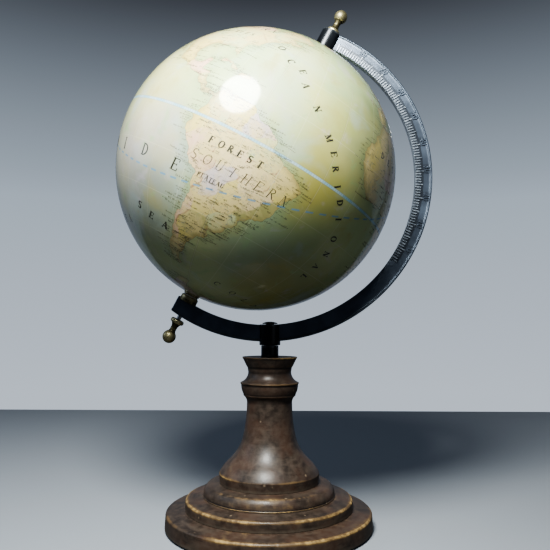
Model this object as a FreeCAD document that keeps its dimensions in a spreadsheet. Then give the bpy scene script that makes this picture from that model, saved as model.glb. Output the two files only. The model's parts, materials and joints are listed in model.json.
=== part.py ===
import FreeCAD, Part
import os
import re
import Sketcher

# Desktop globe on a turned wooden stand.
# The origin is the centre of the base's underside, +Z is up, and the arm stands in the XZ plane
# with its north end leaning towards +X. What turns or sits on the tilted axle is drawn in the
# polar frame: its origin is the ball's centre and its Z axis runs up the axle.

os.makedirs("parts", exist_ok=True)
doc = FreeCAD.newDocument("DesktopGlobe")

SIZES = [
    # the ball and its axle
    ("ball_radius", 100), ("paper_thickness", 0.5), ("shell_wall", 2), ("liner_wall", 2),
    ("liner_half_width", 7), ("axle_radius", 1.6), ("axle_fit", 0.05), ("axle_hole_clearance", 0.1),
    ("axle_grip", 7), ("axis_tilt", 28), ("pole_bush_radius", 4), ("pole_bush_depth", 8),
    ("pole_flange_radius", 6), ("pole_flange_thickness", 0.8), ("running_gap", 0.3),
    ("thrust_washer_radius", 5.5), ("thrust_washer_thickness", 0.8),
    # the arm
    ("arm_clearance", 6.3), ("arm_width", 11.9), ("arm_thickness", 7), ("arm_offset", 8.5),
    ("arm_end", 7.5), ("arm_centre_x", -3), ("boss_radius", 7.5), ("boss_rise", 0.3),
    ("spacer_radius", 6.5), ("spacer_bevel", 0.8), ("seat_clearance", 0.1), ("seat_depth", 0.6),
    ("hub_radius", 7.5), ("hub_drop", 2.5), ("hub_rise", 0.3),
    # the finials
    ("finial_ball_radius", 4.85), ("finial_height", 13.9), ("finial_foot_radius", 4.4),
    ("finial_flange", 2.9), ("finial_flange_curve", 1.9), ("finial_cup_radius", 3.8), ("finial_neck_radius", 2.3),
    ("finial_neck_level", 7.2), ("finial_neck_curve", 5.2), ("finial_collar_radius", 2.8), ("lathe_tip", 0.4),
    ("south_standoff", 3),
    # the tie rod and its nuts
    ("tie_rod_radius", 3), ("tie_rod_fit", 0.05), ("tie_rod_clearance", 0.4), ("neck_radius", 6.2),
    ("neck_height", 7.9), ("cap_nut_radius", 5.5), ("cap_nut_side", 0.6), ("cap_nut_height", 1.7),
    ("cap_nut_dome", 12.5), ("cap_nut_grip", 1.1), ("nut_across_flats", 10), ("nut_height", 5),
    ("nut_recess_radius", 9), ("nut_recess_depth", 7), ("base_washer_radius", 8),
    ("base_washer_thickness", 1.2), ("tie_rod_end", 0.5),
    # the turned base
    ("felt_radius", 67), ("felt_thickness", 1.2), ("plinth_radius", 71.5), ("plinth_side", 10),
    ("plinth_taper", 0.5), ("plinth_crown", 1.65), ("middle_radius", 58), ("middle_side", 6.5),
    ("middle_taper", 0.3), ("middle_crown", 1.6), ("upper_radius", 45.9), ("upper_side", 7.4),
    ("upper_step", 1), ("upper_quirk", 0.4), ("upper_ovolo", 2.75), ("upper_ovolo_radius", 7.5),
    ("upper_crown", 1.2), ("edge_round", 0.8),
    # the turned column: rises are above its foot, drops are below its top
    ("column_height", 86.45), ("foot_radius", 34.9), ("foot_draft", 0.4), ("foot_side", 6.4),
    ("shoulder_radius", 29.3), ("shoulder_rise", 14), ("shoulder_curve", 33), ("flare_radius", 19.2),
    ("flare_rise", 28.4), ("flare_curve", 33), ("shaft_radius", 16.05), ("shaft_curve", 96),
    ("shaft_drop", 33), ("collar_radius", 18.5), ("collar_drop", 27), ("collar_curve", 6),
    ("collar_step", 0.9), ("band_foot_radius", 18.9), ("band_foot_drop", 25.2), ("band_radius", 20.2),
    ("band_drop", 19.2), ("band_curve", 12), ("bead_radius", 20.8), ("bead_drop", 18.7), ("bead_edge", 0.7),
    ("waist_radius", 15.24), ("waist_drop", 10.7), ("waist_curve", 8), ("cup_foot_radius", 15.8),
    ("cup_foot_drop", 7.3), ("cup_step", 0.6), ("rim_foot_radius", 18.9), ("rim_drop", 1.5),
    ("rim_radius", 19.54), ("dish_radius", 16), ("dish_depth", 0.5),
]
sheet = doc.addObject("Spreadsheet::Sheet", "Sizes")
for row, (alias, size) in enumerate(SIZES, start=1):
    sheet.set(f"A{row}", alias.replace("_", " "))
    sheet.set(f"B{row}", str(size))
    sheet.setAlias(f"B{row}", alias)
doc.recompute()

probe = doc.addObject("App::FeaturePython", "Probe")
probe.addProperty("App::PropertyFloat", "Reading")
NAMES = dict(SIZES)


def bound(words):
    """An expression in the sheet's own terms: each size name gains the sheet's name."""
    return re.sub("[a-z_]+", lambda word: "Sizes." + word[0] if word[0] in NAMES else word[0], words)


def reading(words):
    """The number that an expression has now, where a sketch's first guess needs one."""
    probe.setExpression("Reading", bound(words))
    probe.recompute()
    return probe.Reading


# Places worked out from the sizes
SHELL = "(ball_radius - paper_thickness)"
CAVITY = "(ball_radius - paper_thickness - shell_wall)"
BUSH_TOP = "(ball_radius + pole_flange_thickness)"
WASHER_FOOT = f"({BUSH_TOP} + running_gap)"
BOSS_FOOT = f"({WASHER_FOOT} + thrust_washer_thickness)"
ARM_INNER = "(ball_radius + arm_clearance)"
ARM_OUTER = f"({ARM_INNER} + arm_width)"
BOSS_TOP = f"(sqrt({ARM_OUTER}^2 - arm_offset^2) + boss_rise)"
SOUTH_SEAT = f"(sqrt({ARM_INNER}^2 - arm_offset^2) + seat_depth)"
SOUTH_FINIAL = f"(sqrt({ARM_OUTER}^2 - arm_offset^2) + south_standoff)"
PLINTH_TOP = "(felt_thickness + plinth_side)"
MIDDLE_SEAT = f"({PLINTH_TOP} + plinth_crown)"
MIDDLE_TOP = f"({MIDDLE_SEAT} + middle_side)"
UPPER_SEAT = f"({MIDDLE_TOP} + middle_crown)"
UPPER_TOP = f"({UPPER_SEAT} + upper_side)"
COLUMN_FOOT = f"({UPPER_TOP} + upper_crown)"
COLUMN_TOP = f"({COLUMN_FOOT} + column_height)"
NECK_TOP = f"({COLUMN_TOP} + neck_height)"
HUB_FOOT = f"({NECK_TOP} + running_gap)"
HUB_TOP = f"({HUB_FOOT} + hub_drop + arm_width + hub_rise)"
CAP_FOOT = f"({HUB_TOP} + running_gap)"
ARM_CENTRE_Z = f"({HUB_FOOT} + hub_drop + {ARM_OUTER})"
BALL_X = "(arm_centre_x - arm_offset * cos(axis_tilt))"
BALL_Z = f"({ARM_CENTRE_Z} + arm_offset * sin(axis_tilt))"
NUT_RECESS_TOP = "(felt_thickness + nut_recess_depth)"
WOOD_BORE = "(tie_rod_radius + tie_rod_clearance)"


def place(thing, frame, height="0"):
    """Upright things stand on the base's axis; polar things lie along the axle from the ball's centre."""
    if frame == "upright":
        thing.setExpression(".Placement.Base.z", bound(height))
        return
    thing.Placement = FreeCAD.Placement(FreeCAD.Vector(), FreeCAD.Rotation(FreeCAD.Vector(0, 1, 0), 1))
    thing.setExpression(".Placement.Rotation.Angle", bound("axis_tilt"))
    thing.setExpression(".Placement.Base.x", bound(f"{BALL_X} + ({height}) * sin(axis_tilt)"))
    thing.setExpression(".Placement.Base.z", bound(f"{BALL_Z} + ({height}) * cos(axis_tilt)"))


def new_sketch(body, name):
    """A sketch on the body's own XZ plane: its first axis is radius and its second is height."""
    sketch = body.newObject("Sketcher::SketchObject", name)
    plane = next(item for item in body.Origin.OriginFeatures if item.Role == "XZ_Plane")
    sketch.AttachmentSupport = [(plane, "")]
    sketch.MapMode = "FlatFace"
    return sketch


def pin_point(sketch, edge, end, radius, height):
    """Holds one end of an edge at a radius and a height, or on an axis where either is 0."""
    for kind, words, axis in (("DistanceX", radius, -2), ("DistanceY", height, -1)):
        if words == "0":
            sketch.addConstraint(Sketcher.Constraint("PointOnObject", edge, end, axis))
            continue
        rule = sketch.addConstraint(Sketcher.Constraint(kind, -1, 1, edge, end, reading(words)))
        sketch.setExpression(f"Constraints[{rule}]", bound(words))


def bowed_edge(start, finish, radius):
    """An arc between two points; a positive radius bows it to the right of the way it runs."""
    chord = finish - start
    side = FreeCAD.Vector(chord.y, -chord.x, 0).normalize() * (1 if radius > 0 else -1)
    half = chord.Length / 2
    rise = abs(radius) - (radius * radius - half * half) ** 0.5
    return Part.Arc(start, (start + finish) * 0.5 + side * rise, finish)


def outline(sketch, corners):
    """A closed outline. A corner is (radius, height), or (radius, height, bow) where an arc of that
    radius leads to it from the corner before; an inward bow starts with a minus sign."""
    points = [FreeCAD.Vector(reading(corner[0]), reading(corner[1]), 0) for corner in corners]
    ends = []
    for index, corner in enumerate(corners):
        start, finish = points[index - 1], points[index]
        if len(corner) == 2:
            edge = sketch.addGeometry(Part.LineSegment(start, finish))
        else:
            edge = sketch.addGeometry(bowed_edge(start, finish, reading(corner[2])))
            rule = sketch.addConstraint(Sketcher.Constraint("Radius", edge, abs(reading(corner[2]))))
            sketch.setExpression(f"Constraints[{rule}]", bound(corner[2].lstrip("- ")))
        first = 1 if sketch.getPoint(edge, 1).isEqual(start, 1e-6) else 2
        ends.append((edge, first, 3 - first))
    for index, (edge, first, last) in enumerate(ends):
        following, follower_start, unused = ends[(index + 1) % len(ends)]
        sketch.addConstraint(Sketcher.Constraint("Coincident", edge, last, following, follower_start))
        pin_point(sketch, edge, last, corners[index][0], corners[index][1])


def turned(label, corners, frame="upright"):
    """A piece of revolution, from its half section."""
    body = doc.addObject("PartDesign::Body", label)
    body.Label = label
    sketch = new_sketch(body, label + "_section")
    outline(sketch, corners)
    turning = body.newObject("PartDesign::Revolution", label + "_turning")
    turning.Profile = sketch
    turning.ReferenceAxis = (sketch, ["V_Axis"])
    turning.Angle = 360
    body.Tip = turning
    place(body, frame)
    return body


def cylinder(label, radius, foot, length, frame="upright"):
    """A plain round bar or hole, standing on its foot."""
    bar = doc.addObject("Part::Cylinder", label)
    bar.setExpression("Radius", bound(radius))
    bar.setExpression("Height", bound(length))
    place(bar, frame, foot)
    return bar


def washer(label, bore, radius, foot, top, frame="upright"):
    """A flat ring between two heights."""
    return turned(label, [(bore, foot), (radius, foot), (radius, top), (bore, top)], frame)


# The turned base: a felt, three stacked discs and the column, all bored for the tie rod
def felt():
    return turned("felt_pad", [
        ("0", "0"), ("felt_radius", "0"), ("felt_radius", "felt_thickness"), ("0", "felt_thickness")])


def plinth():
    side = "(plinth_radius - plinth_taper)"
    return turned("plinth", [
        ("nut_recess_radius", "felt_thickness"), ("plinth_radius", "felt_thickness"),
        (side, f"{PLINTH_TOP} - edge_round"), (f"{side} - edge_round", PLINTH_TOP, "edge_round"),
        ("middle_radius", MIDDLE_SEAT), (WOOD_BORE, MIDDLE_SEAT), (WOOD_BORE, NUT_RECESS_TOP),
        ("nut_recess_radius", NUT_RECESS_TOP)])


def middle_tier():
    side = "(middle_radius - middle_taper)"
    return turned("middle_tier", [
        (WOOD_BORE, MIDDLE_SEAT), ("middle_radius", MIDDLE_SEAT), (side, f"{MIDDLE_TOP} - edge_round"),
        (f"{side} - edge_round", MIDDLE_TOP, "edge_round"), ("upper_radius", UPPER_SEAT),
        (WOOD_BORE, UPPER_SEAT)])


def upper_tier():
    step_top = f"({UPPER_SEAT} + upper_step)"
    quirk = "(upper_radius - upper_quirk)"
    return turned("upper_tier", [
        (WOOD_BORE, UPPER_SEAT), ("upper_radius", UPPER_SEAT), ("upper_radius", step_top), (quirk, step_top),
        (f"{quirk} - upper_ovolo", UPPER_TOP, "upper_ovolo_radius"),
        ("foot_radius - foot_draft", COLUMN_FOOT),
        (WOOD_BORE, COLUMN_FOOT)])


def column():
    def rise(words):
        return f"{COLUMN_FOOT} + {words}"

    def drop(words):
        return f"{COLUMN_TOP} - ({words})"

    return turned("column", [
        (WOOD_BORE, COLUMN_FOOT), ("foot_radius - foot_draft", COLUMN_FOOT),
        ("foot_radius", rise("foot_side")),
        ("shoulder_radius", rise("shoulder_rise"), "shoulder_curve"),
        ("flare_radius", rise("flare_rise"), "- flare_curve"),
        ("shaft_radius", drop("shaft_drop"), "- shaft_curve"),
        ("collar_radius", drop("collar_drop"), "- collar_curve"),
        ("collar_radius", drop("collar_drop - collar_step")),
        ("band_foot_radius", drop("band_foot_drop")), ("band_radius", drop("band_drop"), "band_curve"),
        ("bead_radius", drop("bead_drop")), ("bead_radius", drop("bead_drop - bead_edge")),
        ("waist_radius", drop("waist_drop"), "- waist_curve"), ("cup_foot_radius", drop("cup_foot_drop")),
        ("cup_foot_radius + cup_step", drop("cup_foot_drop - cup_step")),
        ("rim_foot_radius", drop("rim_drop")),
        ("rim_radius", drop("rim_drop / 2")), ("rim_radius", COLUMN_TOP), ("dish_radius", drop("dish_depth")),
        (WOOD_BORE, drop("dish_depth"))])


# The tie rod clamps the stand together and is the pivot that the arm's hub turns on
def tie_rod():
    foot = f"({NUT_RECESS_TOP} - base_washer_thickness - nut_height - tie_rod_end)"
    return cylinder("tie_rod", "tie_rod_radius", foot, f"{CAP_FOOT} + cap_nut_grip - {foot}")


def base_washer():
    foot = f"{NUT_RECESS_TOP} - base_washer_thickness"
    return washer("base_washer", WOOD_BORE, "base_washer_radius", foot, NUT_RECESS_TOP)


def base_nut():
    foot = f"{NUT_RECESS_TOP} - base_washer_thickness - nut_height"
    hexagon = doc.addObject("Part::Prism", "nut_blank")
    hexagon.Polygon = 6
    hexagon.setExpression("Circumradius", bound("nut_across_flats / sqrt(3)"))
    hexagon.setExpression("Height", bound("nut_height"))
    place(hexagon, "upright", foot)
    nut = doc.addObject("Part::Cut", "base_nut")
    nut.Base = hexagon
    nut.Tool = cylinder("nut_thread", "tie_rod_radius", foot, "nut_height")
    nut.Label = "base_nut"
    return nut


def neck():
    foot = f"{COLUMN_TOP} - dish_depth"
    return washer("neck_spacer", "tie_rod_radius", "neck_radius", foot, NECK_TOP)


def cap_nut():
    grip_top = f"({CAP_FOOT} + cap_nut_grip)"
    shoulder = f"({CAP_FOOT} + cap_nut_side)"
    dome_top = f"{CAP_FOOT} + cap_nut_height"
    return turned("cap_nut", [
        ("tie_rod_radius", CAP_FOOT), ("cap_nut_radius", CAP_FOOT), ("cap_nut_radius", shoulder),
        ("lathe_tip", dome_top, "cap_nut_dome"), ("0", dome_top), ("0", grip_top),
        ("tie_rod_radius", grip_top)])


# The arm: a curved strap with a hub at the foot and a boss at the north pole, cast in one
def strap():
    body = doc.addObject("PartDesign::Body", "arm_strap")
    sketch = new_sketch(body, "arm_strap_section")
    centre = FreeCAD.Vector(reading("arm_offset"), 0, 0)
    ends = []
    for words in (ARM_INNER, ARM_OUTER):
        radius = reading(words)
        north = FreeCAD.Vector(0, (radius ** 2 - centre.x ** 2) ** 0.5, 0)
        back = centre.x + reading("arm_end")
        south = FreeCAD.Vector(-reading("arm_end"), -(radius ** 2 - back ** 2) ** 0.5, 0)
        edge = sketch.addGeometry(Part.Arc(south, centre + FreeCAD.Vector(radius, 0, 0), north))
        sketch.addConstraint(Sketcher.Constraint("PointOnObject", edge, 3, -1))
        for rule, value in ((Sketcher.Constraint("DistanceX", -1, 1, edge, 3, centre.x), "arm_offset"),
                            (Sketcher.Constraint("Radius", edge, radius), words),
                            (Sketcher.Constraint("DistanceX", -1, 1, edge, 1, south.x), "- arm_end")):
            sketch.setExpression(f"Constraints[{sketch.addConstraint(rule)}]", bound(value))
        sketch.addConstraint(Sketcher.Constraint("PointOnObject", edge, 2, -2))
        ends.append((edge, south, north))
    (inner, inner_south, inner_north), (outer, outer_south, outer_north) = ends
    for end, inner_point, outer_point in ((1, inner_south, outer_south), (2, inner_north, outer_north)):
        edge = sketch.addGeometry(Part.LineSegment(inner_point, outer_point))
        sketch.addConstraint(Sketcher.Constraint("Coincident", edge, 1, inner, end))
        sketch.addConstraint(Sketcher.Constraint("Coincident", edge, 2, outer, end))
    pad = body.newObject("PartDesign::Pad", "arm_strap_pad")
    pad.Profile = sketch
    pad.SideType = "Symmetric"
    pad.setExpression("Length", bound("arm_thickness"))
    body.Tip = pad
    place(body, "polar")
    return body


def arm():
    boss_length = f"{BOSS_TOP} - {BOSS_FOOT}"
    solid = doc.addObject("Part::MultiFuse", "arm_solid")
    solid.Shapes = [
        strap(),
        cylinder("arm_hub", "hub_radius", HUB_FOOT, f"{HUB_TOP} - {HUB_FOOT}"),
        cylinder("arm_boss", "boss_radius", BOSS_FOOT, boss_length, "polar")]
    holes = doc.addObject("Part::MultiFuse", "arm_holes")
    axle_hole = "axle_radius + axle_hole_clearance"
    holes.Shapes = [
        cylinder("tie_rod_hole", "tie_rod_radius + tie_rod_fit", HUB_FOOT, f"{HUB_TOP} - {HUB_FOOT}"),
        cylinder("north_axle_hole", axle_hole, BOSS_FOOT, boss_length, "polar"),
        cylinder("south_axle_hole", axle_hole, f"- {SOUTH_FINIAL}", f"{SOUTH_FINIAL} - {SOUTH_SEAT}",
                 "polar"),
        cylinder("south_spot_face", "spacer_radius + seat_clearance", f"- {SOUTH_SEAT}", "arm_width / 2",
                 "polar")]
    casting = doc.addObject("Part::Cut", "meridian_arm")
    casting.Base = solid
    casting.Tool = holes
    casting.Label = "meridian_arm"
    return casting


# The axle and what is clamped along it, which stay with the arm
def axle():
    south_end = f"({SOUTH_FINIAL} + axle_grip)"
    length = f"{south_end} + {BOSS_TOP} + axle_grip"
    return cylinder("axle_rod", "axle_radius", f"- {south_end}", length, "polar")


def finial(label, seat, sign):
    def level(words):
        return f"{sign} ({seat} + {words})"

    neck_end = "finial_height - sqrt(finial_ball_radius^2 - finial_collar_radius^2)"
    tip = "finial_height + sqrt(finial_ball_radius^2 - lathe_tip^2)"
    bows = ("", "- ") if sign == "" else ("- ", "")
    corners = [
        ("axle_radius", level("0")), ("finial_foot_radius", level("0")),
        ("finial_foot_radius", level("finial_flange"), bows[0] + "finial_flange_curve"),
        ("finial_cup_radius", level("finial_flange")),
        ("finial_neck_radius", level("finial_neck_level"), bows[1] + "finial_neck_curve"),
        ("finial_collar_radius", level(neck_end), bows[1] + "finial_neck_curve"),
        ("finial_ball_radius", level("finial_height"), bows[0] + "finial_ball_radius"),
        ("lathe_tip", level(tip), bows[0] + "finial_ball_radius"), ("0", level(tip)),
        ("0", level("axle_grip")), ("axle_radius", level("axle_grip"))]
    return turned(label, corners, "polar")


def south_spacer():
    ball_end = f"- {BOSS_FOOT}"
    arm_end = f"- {SOUTH_SEAT}"
    bevel = "spacer_radius - spacer_bevel"
    return turned("south_spacer_bush", [
        ("axle_radius", arm_end), ("spacer_radius", arm_end), ("spacer_radius", f"{ball_end} - spacer_bevel"),
        (bevel, ball_end), ("axle_radius", ball_end)], "polar")


def thrust_washer(label, sign):
    foot = f"{sign} {WASHER_FOOT}"
    return washer(label, "axle_radius", "thrust_washer_radius", foot, f"{sign} {BOSS_FOOT}", "polar")


# The ball: two shells on an inner liner, two pole bushes, and the printed map glued over all
def hemisphere(label, outside, inside, sign):
    bows = ("", "- ") if sign == "" else ("- ", "")
    hole = "pole_bush_radius"
    return turned(label, [
        (inside, "0", bows[1] + inside), (outside, "0"),
        (hole, f"{sign}sqrt({outside}^2 - {hole}^2)", bows[0] + outside),
        (hole, f"{sign}sqrt({inside}^2 - {hole}^2)")], "polar")


def liner():
    edge = f"sqrt({CAVITY}^2 - liner_half_width^2)"
    inner = f"{edge} - liner_wall"
    return turned("equator_liner", [
        (inner, "- liner_half_width"), (edge, "- liner_half_width"), (edge, "liner_half_width", CAVITY),
        (inner, "liner_half_width")], "polar")


def pole_bush(label, sign):
    bore = "(axle_radius + axle_fit)"
    inner_end = f"{sign} (ball_radius - pole_bush_depth)"
    return turned(label, [
        (bore, inner_end), ("pole_bush_radius", inner_end), ("pole_bush_radius", f"{sign} ball_radius"),
        ("pole_flange_radius", f"{sign} ball_radius"),
        ("pole_flange_radius", f"{sign} {BUSH_TOP}"), (bore, f"{sign} {BUSH_TOP}")], "polar")


pieces = [
    felt(), plinth(), middle_tier(), upper_tier(), column(), tie_rod(), base_washer(), base_nut(), neck(),
    cap_nut(), arm(), axle(), finial("north_finial", BOSS_TOP, ""),
    finial("south_finial", SOUTH_FINIAL, "-"), south_spacer(),
    thrust_washer("north_thrust_washer", ""), thrust_washer("south_thrust_washer", "-"),
    hemisphere("north_shell", SHELL, CAVITY, ""), hemisphere("south_shell", SHELL, CAVITY, "-"), liner(),
    pole_bush("north_pole_bush", ""), pole_bush("south_pole_bush", "-"),
    hemisphere("north_map_paper", "ball_radius", SHELL, ""),
    hemisphere("south_map_paper", "ball_radius", SHELL, "-"),
]
doc.removeObject(probe.Name)
doc.recompute()

for item in doc.Objects:
    if "Invalid" in item.State or "Error" in item.State:
        raise RuntimeError(f"{item.Label} failed: {item.State}")
for piece in pieces:
    if piece.Shape.isNull() or not piece.Shape.isValid():
        raise RuntimeError(f"{piece.Label} has no valid shape")
    piece.Shape.exportStep(f"parts/{piece.Label}.step")
    box = piece.Shape.BoundBox
    print(f"{piece.Label:22s} volume {piece.Shape.Volume:10.1f}  z {box.ZMin:7.2f} to {box.ZMax:7.2f}")
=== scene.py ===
import json
import math
import bpy
import numpy as np
from mathutils import Matrix, Vector
from mathutils.kdtree import KDTree

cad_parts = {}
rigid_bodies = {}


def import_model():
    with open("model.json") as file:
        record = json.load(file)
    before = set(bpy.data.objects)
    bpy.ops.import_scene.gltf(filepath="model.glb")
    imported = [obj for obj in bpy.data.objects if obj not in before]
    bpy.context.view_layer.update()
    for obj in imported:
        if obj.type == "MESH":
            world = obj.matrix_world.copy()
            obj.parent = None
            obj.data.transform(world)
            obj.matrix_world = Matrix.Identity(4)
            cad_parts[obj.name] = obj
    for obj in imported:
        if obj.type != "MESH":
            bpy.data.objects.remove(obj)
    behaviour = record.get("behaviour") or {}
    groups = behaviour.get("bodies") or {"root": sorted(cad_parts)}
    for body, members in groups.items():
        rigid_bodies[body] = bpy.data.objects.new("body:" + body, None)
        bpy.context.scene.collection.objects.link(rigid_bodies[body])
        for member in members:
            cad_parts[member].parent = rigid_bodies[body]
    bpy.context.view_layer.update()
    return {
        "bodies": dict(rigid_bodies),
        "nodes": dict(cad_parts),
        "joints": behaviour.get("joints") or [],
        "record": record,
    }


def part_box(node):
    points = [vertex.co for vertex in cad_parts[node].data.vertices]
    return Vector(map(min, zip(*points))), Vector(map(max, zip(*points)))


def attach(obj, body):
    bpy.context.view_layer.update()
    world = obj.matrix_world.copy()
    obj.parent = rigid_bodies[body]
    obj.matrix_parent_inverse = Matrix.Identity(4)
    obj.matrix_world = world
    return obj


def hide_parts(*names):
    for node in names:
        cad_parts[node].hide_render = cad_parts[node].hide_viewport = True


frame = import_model()
MM = 0.001


# The studio: a camera low in front and a little to the right, tilted up at the ball. Metal and varnish
# need something to mirror, so the pale backdrop fades from light near the table to dusk above.
camera_data = bpy.data.cameras.new("camera")
camera_data.lens = 39.27
camera_data.sensor_width = 36
camera_data.clip_start = 0.01
camera = bpy.data.objects.new("camera", camera_data)
bpy.context.scene.collection.objects.link(camera)
camera_place = (0.0490, -0.4282, 0.1367)
camera_turn = math.radians(6.07)
camera_tilt = math.radians(90 + 5.0)
camera_roll = math.radians(0.26)
camera.matrix_world = (
    Matrix.Translation(camera_place) @ Matrix.Rotation(camera_turn, 4, "Z")
    @ Matrix.Rotation(camera_tilt, 4, "X") @ Matrix.Rotation(camera_roll, 4, "Z"))
bpy.context.scene.camera = camera
bpy.context.scene.view_settings.view_transform = "AgX"
bpy.context.scene.view_settings.look = "AgX - Medium High Contrast"


def new_object(name, verts, faces, smooth=True):
    """A mesh object in the row frame, from metres."""
    mesh = bpy.data.meshes.new(name)
    mesh.from_pydata([tuple(v) for v in verts], [], [tuple(f) for f in faces])
    mesh.validate()
    mesh.update()
    if smooth:
        mesh.shade_smooth()
    thing = bpy.data.objects.new(name, mesh)
    bpy.context.scene.collection.objects.link(thing)
    return thing


class Shader:
    """A small helper that adds nodes to one tree and joins them."""

    def __init__(self, tree):
        self.tree = tree

    def node(self, kind, settings=None, **inputs):
        node = self.tree.nodes.new(kind)
        for key, value in (settings or {}).items():
            setattr(node, key, value)
        for key, value in inputs.items():
            self.feed(node.inputs[key.replace("_", " ")], value)
        return node

    def feed(self, socket, value):
        if isinstance(value, bpy.types.NodeSocket):
            self.tree.links.new(value, socket)
        elif value is not None:
            socket.default_value = value

    def maths(self, operation, first, second=None):
        node = self.node("ShaderNodeMath", {"operation": operation})
        self.feed(node.inputs[0], first)
        self.feed(node.inputs[1], second)
        return node.outputs[0]

    def times(self, first, second):
        return self.maths("MULTIPLY", first, second)

    def plus(self, first, second):
        return self.maths("ADD", first, second)

    def minus(self, first, second):
        return self.maths("SUBTRACT", first, second)

    def tinted(self, base, mask, strength, tone):
        """The base with a paint chart tone laid over it where mask is high, at most to strength."""
        return self.mix(self.times(mask, strength), base, colour(*tone))

    def mix(self, share, first, second):
        node = self.node("ShaderNodeMix", {"data_type": "RGBA"})
        self.feed(node.inputs[0], share)
        self.feed(node.inputs[6], first)
        self.feed(node.inputs[7], second)
        return node.outputs[2]

    def ramp(self, value, low, high, ease="SMOOTHSTEP"):
        """0 below low and 1 above high; low may be above high."""
        node = self.node("ShaderNodeMapRange", {"interpolation_type": ease})
        for socket, number in zip(node.inputs, (value, low, high, 0.0, 1.0)):
            self.feed(socket, number)
        return node.outputs[0]

    def noise(self, place, scale, detail=4.0, rough=0.55, distortion=0.0):
        node = self.node("ShaderNodeTexNoise", Scale=scale, Detail=detail, Roughness=rough)
        node.inputs["Distortion"].default_value = distortion
        self.feed(node.inputs["Vector"], place)
        return node.outputs["Fac"]


def colour(red, green, blue):
    """Linear colour from the 0 to 255 numbers of a paint chart."""
    chart = (red, green, blue)
    linear = [((c / 255 + 0.055) / 1.055) ** 2.4 if c > 10 else c / 3295 for c in chart]
    return tuple(linear) + (1.0,)


def new_material(name):
    material = bpy.data.materials.new(name)
    material.use_nodes = True
    material.node_tree.nodes.clear()
    shader = Shader(material.node_tree)
    surface = shader.node("ShaderNodeBsdfPrincipled")
    output = shader.node("ShaderNodeOutputMaterial")
    material.node_tree.links.new(surface.outputs[0], output.inputs["Surface"])
    return material, shader, surface


# The table top: a plain pale sheet with rounded corners, cut square to the camera. It only carries the
# object and its soft shadow, and its back edge lies below the ball.
def rounded_sheet(half_wide, front, back, corner):
    """Corners of a flat sheet with quarter round corners, anticlockwise from above."""
    rim = []
    quarters = ((half_wide, back, 0), (-half_wide, back, 90),
                (-half_wide, front, 180), (half_wide, front, 270))
    for x, y, start in quarters:
        middle = Vector((x - math.copysign(corner, x), y - math.copysign(corner, y), 0))
        for degree in range(start, start + 91, 6):
            turn = math.radians(degree)
            rim.append(middle + corner * Vector((math.cos(turn), math.sin(turn), 0)))
    return rim


rim = rounded_sheet(1.6, -0.75, 0.575, 0.02)
floor = new_object("floor", rim, [range(len(rim))], smooth=False)
floor.data.transform(Matrix.Rotation(camera_turn, 4, "Z"))
floor_material, shader, surface = new_material("floor_paper")
surface.inputs["Base Color"].default_value = colour(168, 174, 182)
surface.inputs["Roughness"].default_value = 0.7
dull = shader.node("ShaderNodeBsdfDiffuse", Color=colour(82, 84, 86))
seen_direct = shader.node("ShaderNodeLightPath").outputs["Is Camera Ray"]
both = shader.node("ShaderNodeMixShader", Fac=seen_direct)
floor_output = next(n for n in floor_material.node_tree.nodes if n.type == "OUTPUT_MATERIAL")
floor_material.node_tree.links.new(dull.outputs[0], both.inputs[1])
floor_material.node_tree.links.new(surface.outputs[0], both.inputs[2])
floor_material.node_tree.links.new(both.outputs[0], floor_output.inputs[0])
floor.data.materials.append(floor_material)

world = bpy.data.worlds.new("studio")
world.use_nodes = True
world.node_tree.nodes.clear()
shader = Shader(world.node_tree)
direction = shader.node("ShaderNodeTexCoord").outputs["Generated"]
axes = shader.node("ShaderNodeSeparateXYZ", Vector=direction).outputs
low_paper = shader.mix(shader.ramp(axes[2], -0.10, 0.24, "LINEAR"),
                       colour(190, 199, 210), colour(160, 172, 184))
dusk = shader.ramp(axes[2], 0.20, 0.50, "LINEAR")
paper = shader.mix(dusk, low_paper, colour(62, 65, 72))
seen = shader.node("ShaderNodeBackground", Color=paper)
behind = shader.times(shader.ramp(axes[1], 0.0, 0.7), shader.ramp(axes[2], 0.75, 0.25))
glow = shader.plus(0.13, shader.times(behind, 0.34))
unseen = shader.node("ShaderNodeBackground", Color=colour(158, 170, 188), Strength=glow)
to_camera = shader.node("ShaderNodeLightPath").outputs["Is Camera Ray"]
both = shader.node("ShaderNodeMixShader", Fac=to_camera)
world.node_tree.links.new(unseen.outputs[0], both.inputs[1])
world.node_tree.links.new(seen.outputs[0], both.inputs[2])
world_output = shader.node("ShaderNodeOutputWorld")
world.node_tree.links.new(both.outputs[0], world_output.inputs[0])
bpy.context.scene.world = world

tilt = math.radians(28)
ball_low, ball_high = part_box("equator_liner")
ball_centre = (ball_low + ball_high) / 2
ball_radius = 100 * MM


# The light: a small key high in front, a broad cool fill from the left and a faint one from the right.
# All three are soft lamps aimed at the middle of the ball.
def softbox(name, turn, lift, distance, size, power, tint):
    """A softbox aimed at the ball: turn is from the front towards +X, lift is above the horizon."""
    lamp = bpy.data.lights.new(name, "AREA")
    lamp.shape = "ELLIPSE"
    lamp.size, lamp.size_y = size
    lamp.energy = power
    lamp.color = tint
    turn, lift = math.radians(turn), math.radians(lift)
    away = Vector((math.sin(turn) * math.cos(lift), -math.cos(turn) * math.cos(lift), math.sin(lift)))
    holder = bpy.data.objects.new(name, lamp)
    bpy.context.scene.collection.objects.link(holder)
    aim = away.to_track_quat("Z", "Y").to_matrix().to_4x4()
    holder.matrix_world = Matrix.Translation(ball_centre + away * distance) @ aim
    return holder


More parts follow.
